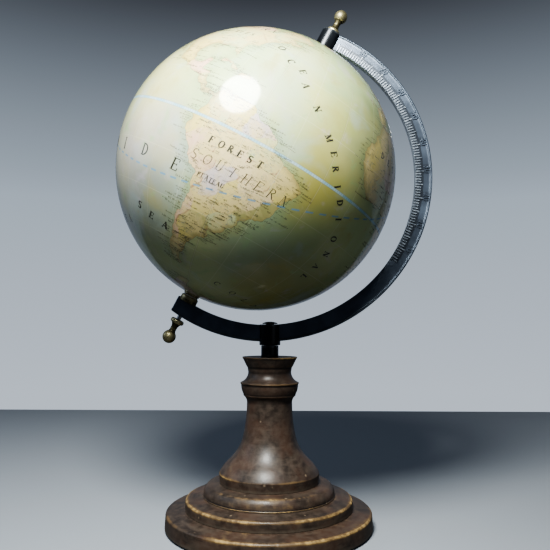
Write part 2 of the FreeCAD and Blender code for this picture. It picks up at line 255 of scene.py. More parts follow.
softbox("key_softbox", -5, 38.5, 0.36, (0.15, 0.18), 4.8, (0.98, 1.0, 0.96))
softbox("left_fill", -80, 22, 0.9, (0.6, 0.6), 1.1, (0.66, 0.80, 1.0))
softbox("right_fill", 48, 4, 1.1, (0.7, 0.7), 0.3, (0.92, 0.97, 1.0))


# The felt pad: a disc of napped green felt, die cut and glued under the plinth so that it doesn't mark
# the desk. It stands back from the plinth's edge, so only its rim shows.
def outline_points(corners, soften):
    """Points along a lathe outline in millimetres, and how sharply the outline turns at each.

    A corner is (radius, height) or (radius, height, bow). The bow is the radius of the arc that arrives
    there, above 0 where it bulges out of the work and below 0 where it is hollow."""
    spacing = 0.2
    core = corners[0][0] == 0
    points = [np.array([corners[0][:2]])] if core else []
    starts = corners[:-1] if core else corners[-1:] + corners[:-1]
    finishes = corners[1:] if core else corners
    for start, finish in zip(starts, finishes):
        first, last = np.array(start[:2], float), np.array(finish[:2], float)
        span = np.linalg.norm(last - first)
        along = (last - first) / span
        outward = np.array((along[1], -along[0]))
        steps = max(2, round(span / spacing))
        share = (np.arange(steps) + 1)[:, None] / steps
        if len(finish) == 2:
            points.append(first + share * (last - first))
            continue
        radius, side = abs(finish[2]), math.copysign(1, finish[2])
        half = math.asin(min(1, span / 2 / radius))
        centre = (first + last) / 2 - side * outward * radius * math.cos(half)
        angle = (2 * share - 1) * half
        points.append(centre + radius * (side * np.cos(angle) * outward + np.sin(angle) * along))
    points = np.concatenate(points)
    before, after = (lambda a: np.roll(a, 1, 0)), (lambda a: np.roll(a, -1, 0))
    for _ in range(round((soften / spacing) ** 2)):
        eased = (before(points) + 2 * points + after(points)) / 4
        if core:
            eased[0], eased[-1] = points[0], points[-1]
        points = eased
    arriving, leaving = points - before(points), after(points) - points
    turn = arriving[:, 0] * leaving[:, 1] - arriving[:, 1] * leaving[:, 0]
    turn = turn / np.maximum(np.linalg.norm(arriving, axis=1) * np.linalg.norm(leaving, axis=1), 1e-9)
    if core:
        turn[0] = turn[-1] = 0
    sharp = turn / spacing
    for _ in range(6):
        sharp = (before(sharp) + 2 * sharp + after(sharp)) / 4
    kept, turned_so_far, walked = [0], 0.0, 0.0
    for i in range(1, len(points)):
        turned_so_far += abs(turn[i])
        walked += np.linalg.norm(arriving[i])
        if turned_so_far > 0.10 or walked > 1.8 or (core and i == len(points) - 1):
            kept.append(i)
            turned_so_far = walked = 0.0
    return points[kept], np.clip(sharp[kept] / 0.5, -1, 1)


def turned(name, corners, sides=160, soften=0.45, frame=Matrix()):
    """A lathe piece about the frame's Z axis. Its edge value is 1 on arrises and -1 in grooves."""
    core = corners[0][0] == 0
    points, edge = outline_points(corners, soften)
    rings = points[1:-1] if core else points
    turn = np.linspace(0, 2 * math.pi, sides, endpoint=False)
    across = rings[:, :1]
    verts = np.stack([across * np.cos(turn), across * np.sin(turn), rings[:, 1:] + 0 * turn],
                     -1).reshape(-1, 3)
    low_left = np.arange(len(verts)).reshape(-1, sides)
    low_right = np.roll(low_left, -1, 1)
    faces = np.stack([low_left, low_right, np.roll(low_right, -1, 0), np.roll(low_left, -1, 0)], -1)
    values = np.repeat(edge[1:-1] if core else edge, sides)
    if core:
        faces = faces[:-1].reshape(-1, 4).tolist()
        foot, tip = len(verts), len(verts) + 1
        verts = np.vstack([verts, (0, 0, points[0][1]), (0, 0, points[-1][1])])
        values = np.append(values, (edge[0], edge[-1]))
        faces += [(foot, b, a) for a, b in zip(low_left[0], low_right[0])]
        faces += [(a, b, tip) for a, b in zip(low_left[-1], low_right[-1])]
    else:
        faces = faces.reshape(-1, 4).tolist()
    piece = new_object(name, verts * MM, faces)
    piece.data.transform(frame)
    foot_level = points[:, 1].min()
    near_foot = verts[:, 2] < foot_level + 0.55
    values = np.where(near_foot, np.minimum(values, 0.0), values)
    for title, numbers in (("edge", values), ("seam", near_foot)):
        stored = piece.data.attributes.new(title, "FLOAT", "POINT")
        stored.data.foreach_set("value", numbers.astype(np.float32))
    return piece


felt_pad = turned("felt_pad_cut", [(8.6, 0), (67, 0), (67, 1.2), (8.6, 1.2)], sides=128, soften=0.25)
felt_material, shader, surface = new_material("green_felt")
place = shader.node("ShaderNodeTexCoord").outputs["Object"]
nap = shader.noise(place, 1800, 3.0, 0.7)
clumps = shader.noise(place, 140, 4.0, 0.6)
green = shader.mix(clumps, colour(28, 44, 34), colour(46, 66, 50))
shader.feed(surface.inputs["Base Color"], shader.mix(nap, green, colour(72, 88, 70)))
surface.inputs["Roughness"].default_value = 0.95
surface.inputs["Sheen Weight"].default_value = 0.3
felt_bump = shader.node("ShaderNodeBump", Strength=0.6, Distance=0.0003, Height=nap)
shader.feed(surface.inputs["Normal"], felt_bump.outputs[0])
felt_pad.data.materials.append(felt_material)
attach(felt_pad, "stand")
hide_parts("felt_pad")


# The stand's wood: three stepped discs and a column, turned from hardwood and glued on one another.
# Black-brown stain was wiped on, then rubbed back to ochre on every arris, and the whole was waxed.
def stained_wood_group():
    group = bpy.data.node_groups.new("rubbed_stain", "ShaderNodeTree")
    for name, kind in (("Place", "Vector"), ("Edge", "Float"), ("Seam", "Float"), ("Rub", "Float")):
        group.interface.new_socket(name, in_out="INPUT", socket_type="NodeSocket" + kind)
    for name, kind in (("Color", "Color"), ("Roughness", "Float"), ("Height", "Float")):
        group.interface.new_socket(name, in_out="OUTPUT", socket_type="NodeSocket" + kind)
    shader = Shader(group)
    given = shader.node("NodeGroupInput").outputs
    place, edge = given["Place"], given["Edge"]
    x, y, z = shader.node("ShaderNodeSeparateXYZ", Vector=place).outputs
    out = shader.maths("SQRT", shader.plus(shader.times(x, x), shader.times(y, y)))
    around = shader.times(shader.maths("ARCTAN2", y, x), 0.007)
    lathe_place = shader.node("ShaderNodeCombineXYZ", X=out, Y=around, Z=z).outputs[0]
    tool_marks = shader.noise(lathe_place, 620, 3.0, 0.6)
    wipes = shader.noise(lathe_place, 190, 4.0, 0.6, 0.4)
    patches = shader.noise(place, 48, 3.0, 0.5)
    mottle = shader.noise(place, 230, 5.0, 0.62)
    wood = shader.mix(shader.ramp(patches, 0.42, 0.62), colour(48, 40, 35), colour(74, 55, 45))
    wood = shader.tinted(wood, shader.ramp(mottle, 0.3, 0.75), 0.7, (92, 79, 69))
    wood = shader.tinted(wood, shader.ramp(wipes, 0.5, 0.72), 0.42, (98, 87, 76))
    wood = shader.tinted(wood, shader.ramp(tool_marks, 0.55, 0.75), 0.4, (18, 14, 12))
    # Darker in the grooves and coves of the profile.
    groove_darkening = shader.ramp(edge, -0.05, -0.7)
    wood = shader.tinted(wood, groove_darkening, 0.78, (18, 14, 12))
    ragged = shader.plus(shader.times(shader.minus(mottle, 0.5), 1.6),
                          shader.times(shader.minus(patches, 0.5), 1.5))
    worn = shader.plus(shader.times(edge, given["Rub"]), ragged)
    stretch = shader.noise(place, 17, 2.0, 0.5)
    worn = shader.times(worn, shader.plus(0.35, shader.times(shader.ramp(stretch, 0.40, 0.58), 0.6)))
    rubbed = shader.ramp(worn, 0.22, 0.7)
    bare = shader.ramp(worn, 0.75, 1.25)
    wood = shader.tinted(wood, rubbed, 0.85, (110, 88, 60))
    wood = shader.mix(bare, wood, colour(180, 150, 98))
    wood = shader.tinted(wood, given["Seam"], 0.5, (112, 104, 92))
    cells = shader.node("ShaderNodeTexVoronoi", Vector=place, Scale=150.0)
    chosen = shader.node("ShaderNodeSeparateColor", Color=cells.outputs["Color"]).outputs[0]
    pits = shader.times(shader.ramp(cells.outputs["Distance"], 0.16, 0.07),
                        shader.ramp(chosen, 0.80, 0.82))
    wood = shader.tinted(wood, pits, 0.8, (136, 120, 100))
    rough = shader.plus(shader.times(mottle, 0.24), 0.32)
    rough = shader.plus(rough, shader.times(rubbed, 0.10))
    height = shader.plus(shader.times(tool_marks, 0.5), shader.times(mottle, 0.9))
    height = shader.minus(height, shader.times(pits, 1.2))
    shader.node("NodeGroupOutput", Color=wood, Roughness=rough, Height=height)
    return group


rubbed_stain = stained_wood_group()


def stained_wood(name, rub, turn):
    """The stain on one turned piece: rub is how far the arrises were rubbed, turn sets its own grain."""
    material, shader, surface = new_material(name)
    place = shader.node("ShaderNodeTexCoord").outputs["Object"]
    edge = shader.node("ShaderNodeAttribute", {"attribute_name": "edge"}).outputs["Fac"]
    seam = shader.node("ShaderNodeAttribute", {"attribute_name": "seam"}).outputs["Fac"]
    turned_place = shader.node("ShaderNodeVectorRotate", {"rotation_type": "Z_AXIS"},
                               Vector=place, Angle=turn)
    stain = shader.node("ShaderNodeGroup", {"node_tree": rubbed_stain},
                        Place=turned_place.outputs[0], Edge=edge, Seam=seam, Rub=rub)
    shader.feed(surface.inputs["Base Color"], stain.outputs["Color"])
    shader.feed(surface.inputs["Roughness"], stain.outputs["Roughness"])
    surface.inputs["Specular IOR Level"].default_value = 0.42
    surface.inputs["Coat Weight"].default_value = 0.12
    surface.inputs["Coat Roughness"].default_value = 0.22
    bump = shader.node("ShaderNodeBump", Strength=0.5, Distance=0.0002, Height=stain.outputs["Height"])
    shader.feed(surface.inputs["Normal"], bump.outputs[0])
    return material


bore = 3.4
recess, recess_top = 9.0, 8.2
plinth = turned("plinth_turned", [
    (recess, 1.2), (71.5, 1.2), (71.05, 10.4), (70.2, 11.3), (69.4, 11.45), (58.6, 12.85), (bore, 12.85),
    (bore, recess_top), (recess, recess_top)], sides=224)
middle_tier = turned("middle_tier_turned", [
    (bore, 12.85), (58, 12.85), (57.75, 18.5), (57.0, 19.45), (56.2, 19.6), (46.4, 20.95),
    (bore, 20.95)], sides=208)
upper_tier = turned("upper_tier_turned", [
    (bore, 20.95), (45.9, 20.95), (45.9, 21.95), (45.5, 21.95), (42.75, 28.35, 7.5), (41.8, 28.75),
    (35.2, 29.55), (bore, 29.55)], sides=192, soften=0.35)
column = turned("column_turned", [
    (bore, 29.55), (34.5, 29.55), (34.9, 35.95), (29.3, 43.55, 33), (19.2, 57.95, -33), (16.05, 83, -96),
    (18.5, 89, -6), (18.5, 89.9), (18.9, 90.8), (20.2, 96.8, 12), (20.8, 97.3), (20.8, 98),
    (15.24, 105.3, -8), (15.8, 108.7), (16.4, 109.3), (18.9, 114.5), (19.54, 115.25),
    (19.54, 116), (16, 115.5), (bore, 115.5)],
    sides=160, soften=0.35)
for piece, node, rub, turn in ((plinth, "plinth", 0.95, 0.4), (middle_tier, "middle_tier", 1.0, 1.9),
                               (upper_tier, "upper_tier", 0.9, 3.1), (column, "column", 1.15, 4.4)):
    piece.data.materials.append(stained_wood(node + "_stain", rub, turn))
    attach(piece, "stand")
    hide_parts(node)


# The tie rod and its nut: an M6 zinc-plated rod through the whole stand, drawn up by a washer and a hex
# nut in a recess under the plinth, so the glued tiers can't part.
def bare_metal(name, dark, pale, roughness):
    """Solid metal with a fine scratched grain and the dull patches of handling."""
    material, shader, surface = new_material(name)
    place = shader.node("ShaderNodeTexCoord").outputs["Object"]
    grain = shader.noise(place, 900, 4.0, 0.6)
    patches = shader.noise(place, 160, 4.0, 0.6)
    tone = shader.mix(shader.ramp(patches, 0.38, 0.66), dark, pale)
    shader.feed(surface.inputs["Base Color"], shader.mix(shader.times(grain, 0.35), tone, dark))
    rough = shader.plus(shader.times(patches, 0.25), roughness)
    shader.feed(surface.inputs["Roughness"], rough)
    surface.inputs["Metallic"].default_value = 1.0
    bump = shader.node("ShaderNodeBump", Strength=0.25, Distance=0.00008, Height=grain)
    shader.feed(surface.inputs["Normal"], bump.outputs[0])
    return material


zinc = bare_metal("bright_zinc", colour(120, 122, 126), colour(176, 178, 182), 0.22)
for node in ("tie_rod", "base_washer", "base_nut", "axle_rod"):
    frame["nodes"][node].data.materials.clear()
    frame["nodes"][node].data.materials.append(zinc)


# The neck spacer and the cap nut: black enamelled turnings above and below the arm's hub. The spacer
# lifts the hub clear of the column, and the domed nut closes the tie rod's top end.
def black_enamel(name, face, cloudy, gloss, pale):
    """Stoved blue-black enamel: a soft orange peel, dust nibs, paler rubbed arrises and the painted light
    and shade that the edge values carry.
    """
    material, shader, surface = new_material(name)
    place = shader.node("ShaderNodeTexCoord").outputs["Object"]
    edge = shader.node("ShaderNodeAttribute", {"attribute_name": "edge"}).outputs["Fac"]
    cloud = shader.noise(place, 60, 3.0, 0.5)
    peel = shader.noise(place, 700, 3.0, 0.55)
    tone = shader.mix(shader.ramp(cloud, 0.35, 0.7), face, cloudy)
    worn = shader.plus(edge, shader.times(shader.minus(peel, 0.5), 1.2))
    # Pale where the edge value is high: wear on arrises and rib tops, and a painted reflection on the arm's
    # inner face.
    tone = shader.mix(shader.times(shader.ramp(worn, 0.35, 1.0), pale), tone, colour(176, 186, 198))
    # Painted shade: near black where the edge value is below 0, between the ribs, at their feet and round
    # the figures.
    tone = shader.tinted(tone, shader.ramp(edge, -0.1, -0.9), 0.92, (8, 9, 12))
    shader.feed(surface.inputs["Base Color"], tone)
    rough = shader.plus(shader.times(cloud, 0.10), gloss)
    shader.feed(surface.inputs["Roughness"], rough)
    surface.inputs["Metallic"].default_value = 0.6
    surface.inputs["Coat Weight"].default_value = 0.3
    surface.inputs["Coat Roughness"].default_value = 0.25
    bump = shader.node("ShaderNodeBump", Strength=0.3, Distance=0.00006, Height=peel)
    shader.feed(surface.inputs["Normal"], bump.outputs[0])
    return material


# Painted light: the arm's blue-grey is paler than the black of its hub and boss, standing in for
# reflection.
enamel = black_enamel("arm_enamel_lightened", colour(70, 79, 92), colour(88, 99, 114), 0.28, 0.85)
dark_enamel = black_enamel("neck_enamel", colour(22, 24, 28), colour(34, 38, 44), 0.24, 0.12)
rod_radius = 3.0
neck_spacer = turned("neck_spacer_turned", [
    (rod_radius, 115.5), (6.2, 115.5), (6.2, 123.9), (rod_radius, 123.9)], sides=96, soften=0.3)
cap_nut = turned("cap_nut_turned", [
    (0, 139.2), (5.5, 139.2), (5.5, 139.8), (0.4, 140.9, 12.5), (0, 140.9)], sides=96, soften=0.25)
for piece, node in ((neck_spacer, "neck_spacer"), (cap_nut, "cap_nut")):
    piece.data.materials.append(dark_enamel)
    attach(piece, "stand")
    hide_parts(node)


# The meridian arm: a half ring of cast zinc with a lip round its outer edge, a graduated scale cast on
# both faces, a hub that turns on the tie rod and a boss that holds the axle's upper end.
polar = Matrix.Translation(ball_centre) @ Matrix.Rotation(tilt, 4, "Y")
arm_offset = 8.5
arm_inner, arm_outer = 106.3, 118.2
arm_back = 7.5
half_thick = 3.5
face_level = 2.95


def arm_point(radius, angle, out):
    """A point on the arm in the polar frame. The angle runs from the north pole down the arm."""
    return arm_offset + radius * math.sin(angle), out, radius * math.cos(angle)


def arm_section():
    """(radius, out) round the casting's section, with soft corners and a lip on the outer edge."""
    lip = arm_outer - 1.5
    half = [(arm_inner, 0), (arm_inner, 2.55), (arm_inner + 0.1, 2.85), (arm_inner + 0.35, face_level),
            (arm_inner + 5.7, face_level), (arm_inner + 6.1, face_level), (arm_inner + 6.9, face_level),
            (arm_inner + 7.7, face_level), (arm_inner + 8.8, face_level), (lip - 0.5, face_level),
            (lip, face_level + 0.1), (lip + 0.25, half_thick - 0.1), (lip + 0.5, half_thick),
            (arm_outer - 0.5, half_thick), (arm_outer - 0.1, half_thick - 0.35),
            (arm_outer, half_thick - 0.8)]
    other = [(radius, -out) for radius, out in reversed(half[1:])]
    return half + other


section = arm_section()
north_end = -math.asin(arm_offset / arm_inner)
steps = 480
verts = []
for step in range(steps + 2):
    share = min(1.0, step / steps)
    shrink = 0.45 if step == steps + 1 else 0.0
    for radius, out in section:
        middle = (arm_inner + arm_outer) / 2
        closer = 1 - shrink / (middle - arm_inner)
        radius, out = middle + (radius - middle) * closer, out * (1 - shrink / half_thick)
        south_end = math.pi + math.asin((arm_offset + arm_back - (0.0 if shrink else 0.4)) / radius)
        verts.append(arm_point(radius, north_end + share * (south_end - north_end), out))
around = len(section)
faces = []
for step in range(steps + 1):
    for k in range(around):
        a, b = step * around + k, step * around + (k + 1) % around
        faces.append((a, b, b + around, a + around))
faces.append(tuple(reversed(range(around))))
faces.append(tuple(range((steps + 1) * around, (steps + 2) * around)))
strap = new_object("meridian_arm_cast", np.array(verts) * MM, faces)
scale_reach = arm_inner + 5.9
distances = [(math.hypot(x - arm_offset, z), math.atan2(x - arm_offset, z)) for x, _, z in verts]


def painted_shade_and_reflection(radius, angle):
    """Painted shade between the ribs and round the figures, and a painted reflection that makes the inner
    face pale.
    """
    if not -0.05 < angle < 1.68:
        return 0.0
    if radius < arm_inner + 0.2:
        return 0.75
    if radius < scale_reach:
        return -0.6
    degree = math.degrees(angle)
    beside_figures = abs(degree - 10 * round(degree / 10)) < 1.7 and degree > 5
    return -0.42 if beside_figures and radius < arm_outer - 1.6 else 0.0


# The strap's edge values carry only painted shade and a painted reflection.
shade_and_reflection = [painted_shade_and_reflection(radius, angle) for radius, angle in distances]
strap.data.attributes.new("edge", "FLOAT", "POINT").data.foreach_set("value", shade_and_reflection)
strap.data.transform(polar)
strap.data.materials.append(enamel)
hub = turned("hub", [(rod_radius + 0.05, 124.2), (7.5, 124.2), (7.5, 138.9), (rod_radius + 0.05, 138.9)],
             sides=96, soften=0.35)
boss = turned("boss", [(1.7, 101.9), (7.5, 101.9), (7.5, 118.19), (1.7, 118.19)],
              sides=96, soften=0.4, frame=polar)


def joined(parts):
    """One object from several closed pieces that are cast or printed together."""
    with bpy.context.temp_override(active_object=parts[0], selected_editable_objects=parts):
        bpy.ops.object.join()
    return parts[0]


for turning in (hub, boss):
    turning.data.materials.append(dark_enamel)
arm = joined([strap, hub, boss])
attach(arm, "arm")
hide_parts("meridian_arm")


# The arm's scale: a rib for each degree of the first quarter on both faces, longer every fifth, and a
# number every ten. All are cast standing up from the face, level with the lip.
def bar(points, half_width, low, high):
    """A closed bar along points: each is (place, sideways, out) and the bar spans low to high along out."""
    rails = [[place - side * half_width + out * low, place + side * half_width + out * low,
              place + side * half_width * 0.8 + out * high, place - side * half_width * 0.8 + out * high]
             for place, side, out in points]
    rings = len(rails)
    faces = [(0, 1, 2, 3), tuple(4 * (rings - 1) + k for k in (3, 2, 1, 0))]
    for ring in range(rings - 1):
        for k in range(4):
            a, b = 4 * ring + k, 4 * ring + (k + 1) % 4
            faces.append((a, a + 4, b + 4, b))
    return [corner for rail in rails for corner in rail], faces


def gathered(name, shapes):
    """One flat-shaded object from many closed bars in millimetres, with painted shade at their feet and
    their tops worn.
    """
    verts, faces = [], []
    for shape_verts, shape_faces in shapes:
        faces += [tuple(len(verts) + k for k in face) for face in shape_faces]
        verts += shape_verts
    thing = new_object(name, np.array(verts) * MM, faces, smooth=False)
    # Edge values: painted shade at each bar's foot (-0.8) and wear on its top (0.7).
    edge = np.tile((-0.8, -0.8, 0.7, 0.7), len(verts) // 4).astype(np.float32)
    thing.data.attributes.new("edge", "FLOAT", "POINT").data.foreach_set("value", edge)
    return thing


ribs = []
for side in (-1, 1):
    out = np.array((0, side, 0))
    for degree in range(0, 96):
        angle = math.radians(degree + 0.7)
        reach = 6.0 if degree % 10 == 0 else 5.4 if degree % 5 == 0 else 4.2
        along = np.array((math.sin(angle), 0, math.cos(angle)))
        across = np.cross(out, along)
        ends = [np.array(arm_point(arm_inner + depth, angle, 0)) for depth in (0.3, reach)]
        ribs.append(bar([(end, across, out) for end in ends], 0.42, face_level - 0.2, half_thick - 0.02))
scale_ribs = gathered("arm_scale_ribs", ribs)


def number_relief(text, size, depth):
    """Raised figures lying in the XY plane, centred, from their foot at -depth to their face at +depth."""
    letters = bpy.data.curves.new("figures", "FONT")
    letters.body = text
    letters.size = size * MM
    letters.align_x, letters.align_y = "CENTER", "CENTER"
    letters.extrude = depth * MM
    letters.bevel_depth = 0.05 * MM
    letters.resolution_u = 3
    holder = bpy.data.objects.new("figures", letters)
    bpy.context.scene.collection.objects.link(holder)
    bpy.context.view_layer.update()
    mesh = bpy.data.meshes.new_from_object(holder.evaluated_get(bpy.context.evaluated_depsgraph_get()))
    bpy.data.objects.remove(holder)
    piece = bpy.data.objects.new("number_" + text, mesh)
    bpy.context.scene.collection.objects.link(piece)
    return piece


number_radius = arm_outer - 3.4
numbers = []
for side in (-1, 1):
    for ten in range(1, 10):
        figures = number_relief(str(90 - ten * 10), 6.0, 0.2)
        angle = math.radians(ten * 10)
        up = Vector((math.sin(angle), 0, math.cos(angle)))
        out = Vector((0, side, 0))
        right = up.cross(out)
        turn = Matrix((right, up, out)).transposed().to_4x4()
        place = Vector(arm_point(number_radius, angle, side * (half_thick - 0.27))) * MM
        figures.data.transform(polar @ Matrix.Translation(place) @ turn)
        numbers.append(figures)
scale_ribs.data.transform(polar)
arm_scale = joined([scale_ribs] + numbers)
arm_scale.name = "arm_scale_relief"
arm_scale.data.materials.clear()
arm_scale.data.materials.append(enamel)
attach(arm_scale, "arm")


# What is clamped along the axle: a turned brass finial screwed on each end, a brass spacer bush on the
# arm's south end, and a nylon washer at each pole for the ball to run on.
boss_top, south_standoff = 118.19, 120.89


def finial_outline(seat):
    """A rounded flange, a waisted neck and a ball, from the flange's face up."""
    return [(0, seat), (4.4, seat), (4.4, seat + 2.9, 1.9), (3.8, seat + 2.9), (2.3, seat + 7.2, -5.2),
            (2.8, seat + 9.94, -5.2), (4.85, seat + 13.9, 4.85), (0.4, seat + 18.73, 4.85),
            (0, seat + 18.73)]


def mirrored(outline):
    """The same turning pointing south, with its corners in the lathe's order."""
    bows = [corner[2:] for corner in outline[1:]] + [()]
    return [(corner[0], -corner[1]) + bow for corner, bow in reversed(list(zip(outline, bows)))]


def brass_material():
    """Lacquered brass gone brown in its grooves and bright where fingers rub it."""
    material, shader, surface = new_material("aged_brass")
    place = shader.node("ShaderNodeTexCoord").outputs["Object"]
    edge = shader.node("ShaderNodeAttribute", {"attribute_name": "edge"}).outputs["Fac"]
    patina = shader.noise(place, 330, 5.0, 0.65)
    worn = shader.plus(shader.times(edge, 0.8), patina)
    tone = shader.mix(shader.ramp(worn, 0.35, 0.75), colour(78, 73, 54), colour(150, 143, 110))
    tone = shader.mix(shader.ramp(worn, 0.9, 1.5), tone, colour(190, 182, 148))
    shader.feed(surface.inputs["Base Color"], tone)
    surface.inputs["Metallic"].default_value = 0.9
    rough = shader.minus(0.60, shader.times(worn, 0.16))
    shader.feed(surface.inputs["Roughness"], rough)
    bump = shader.node("ShaderNodeBump", Strength=0.3, Distance=0.0001, Height=patina)
    shader.feed(surface.inputs["Normal"], bump.outputs[0])
    return material


def nylon_material():
    """Natural nylon, slightly yellowed, with graphite dust from running."""
    material, shader, surface = new_material("natural_nylon")
    place = shader.node("ShaderNodeTexCoord").outputs["Object"]
    dust = shader.noise(place, 500, 4.0, 0.6)
    shader.feed(surface.inputs["Base Color"],
                shader.mix(dust, colour(226, 220, 202), colour(176, 170, 156)))
    surface.inputs["Roughness"].default_value = 0.5
    surface.inputs["Subsurface Weight"].default_value = 0.1
    return material


brass = brass_material()
nylon = nylon_material()
axle_radius = 1.6
bush_outline = [(axle_radius, -106.56), (6.5, -106.56), (6.5, -102.7), (5.7, -101.9), (axle_radius, -101.9)]
washer_outline = [(axle_radius, 101.15), (5.5, 101.15), (5.5, 101.9), (axle_radius, 101.9)]
pole_outline = [(axle_radius, 92), (4, 92), (4, 99.9), (6, 99.9), (6, 100.8), (axle_radius, 100.8)]
for node, outline, material, body, slot in (
        ("north_finial", finial_outline(boss_top), brass, "arm", "brass"),
        ("south_finial", mirrored(finial_outline(south_standoff)), brass, "arm", "brass"),
        ("south_spacer_bush", bush_outline, brass, "arm", "brass"),
        ("north_thrust_washer", washer_outline, nylon, "arm", "nylon"),
        ("south_thrust_washer", mirrored(washer_outline), nylon, "arm", "nylon"),
        ("north_pole_bush", pole_outline, brass, "globe", "brass"),
        ("south_pole_bush", mirrored(pole_outline), brass, "globe", "brass")):
    piece = turned(node + "_turned", outline, sides=96, soften=0.2, frame=polar)
    piece.data.materials.append(material)
    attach(piece, body)
    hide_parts(node)


# The ball's body: two pressed board shells butted on a board liner ring at the equator. The map covers
# them, so they keep their plain shape and only show brown pressed fibres.
board, shader, surface = new_material("pressed_board")
place = shader.node("ShaderNodeTexCoord").outputs["Object"]
fibres = shader.noise(place, 420, 6.0, 0.7, 1.2)
shader.feed(surface.inputs["Base Color"], shader.mix(fibres, colour(150, 132, 104), colour(106, 90, 68)))
surface.inputs["Roughness"].default_value = 0.85
board_bump = shader.node("ShaderNodeBump", Strength=0.4, Distance=0.0003, Height=fibres)
shader.feed(surface.inputs["Normal"], board_bump.outputs[0])
for node in ("north_shell", "south_shell", "equator_liner"):
    frame["nodes"][node].data.materials.clear()
    frame["nodes"][node].data.materials.append(board)


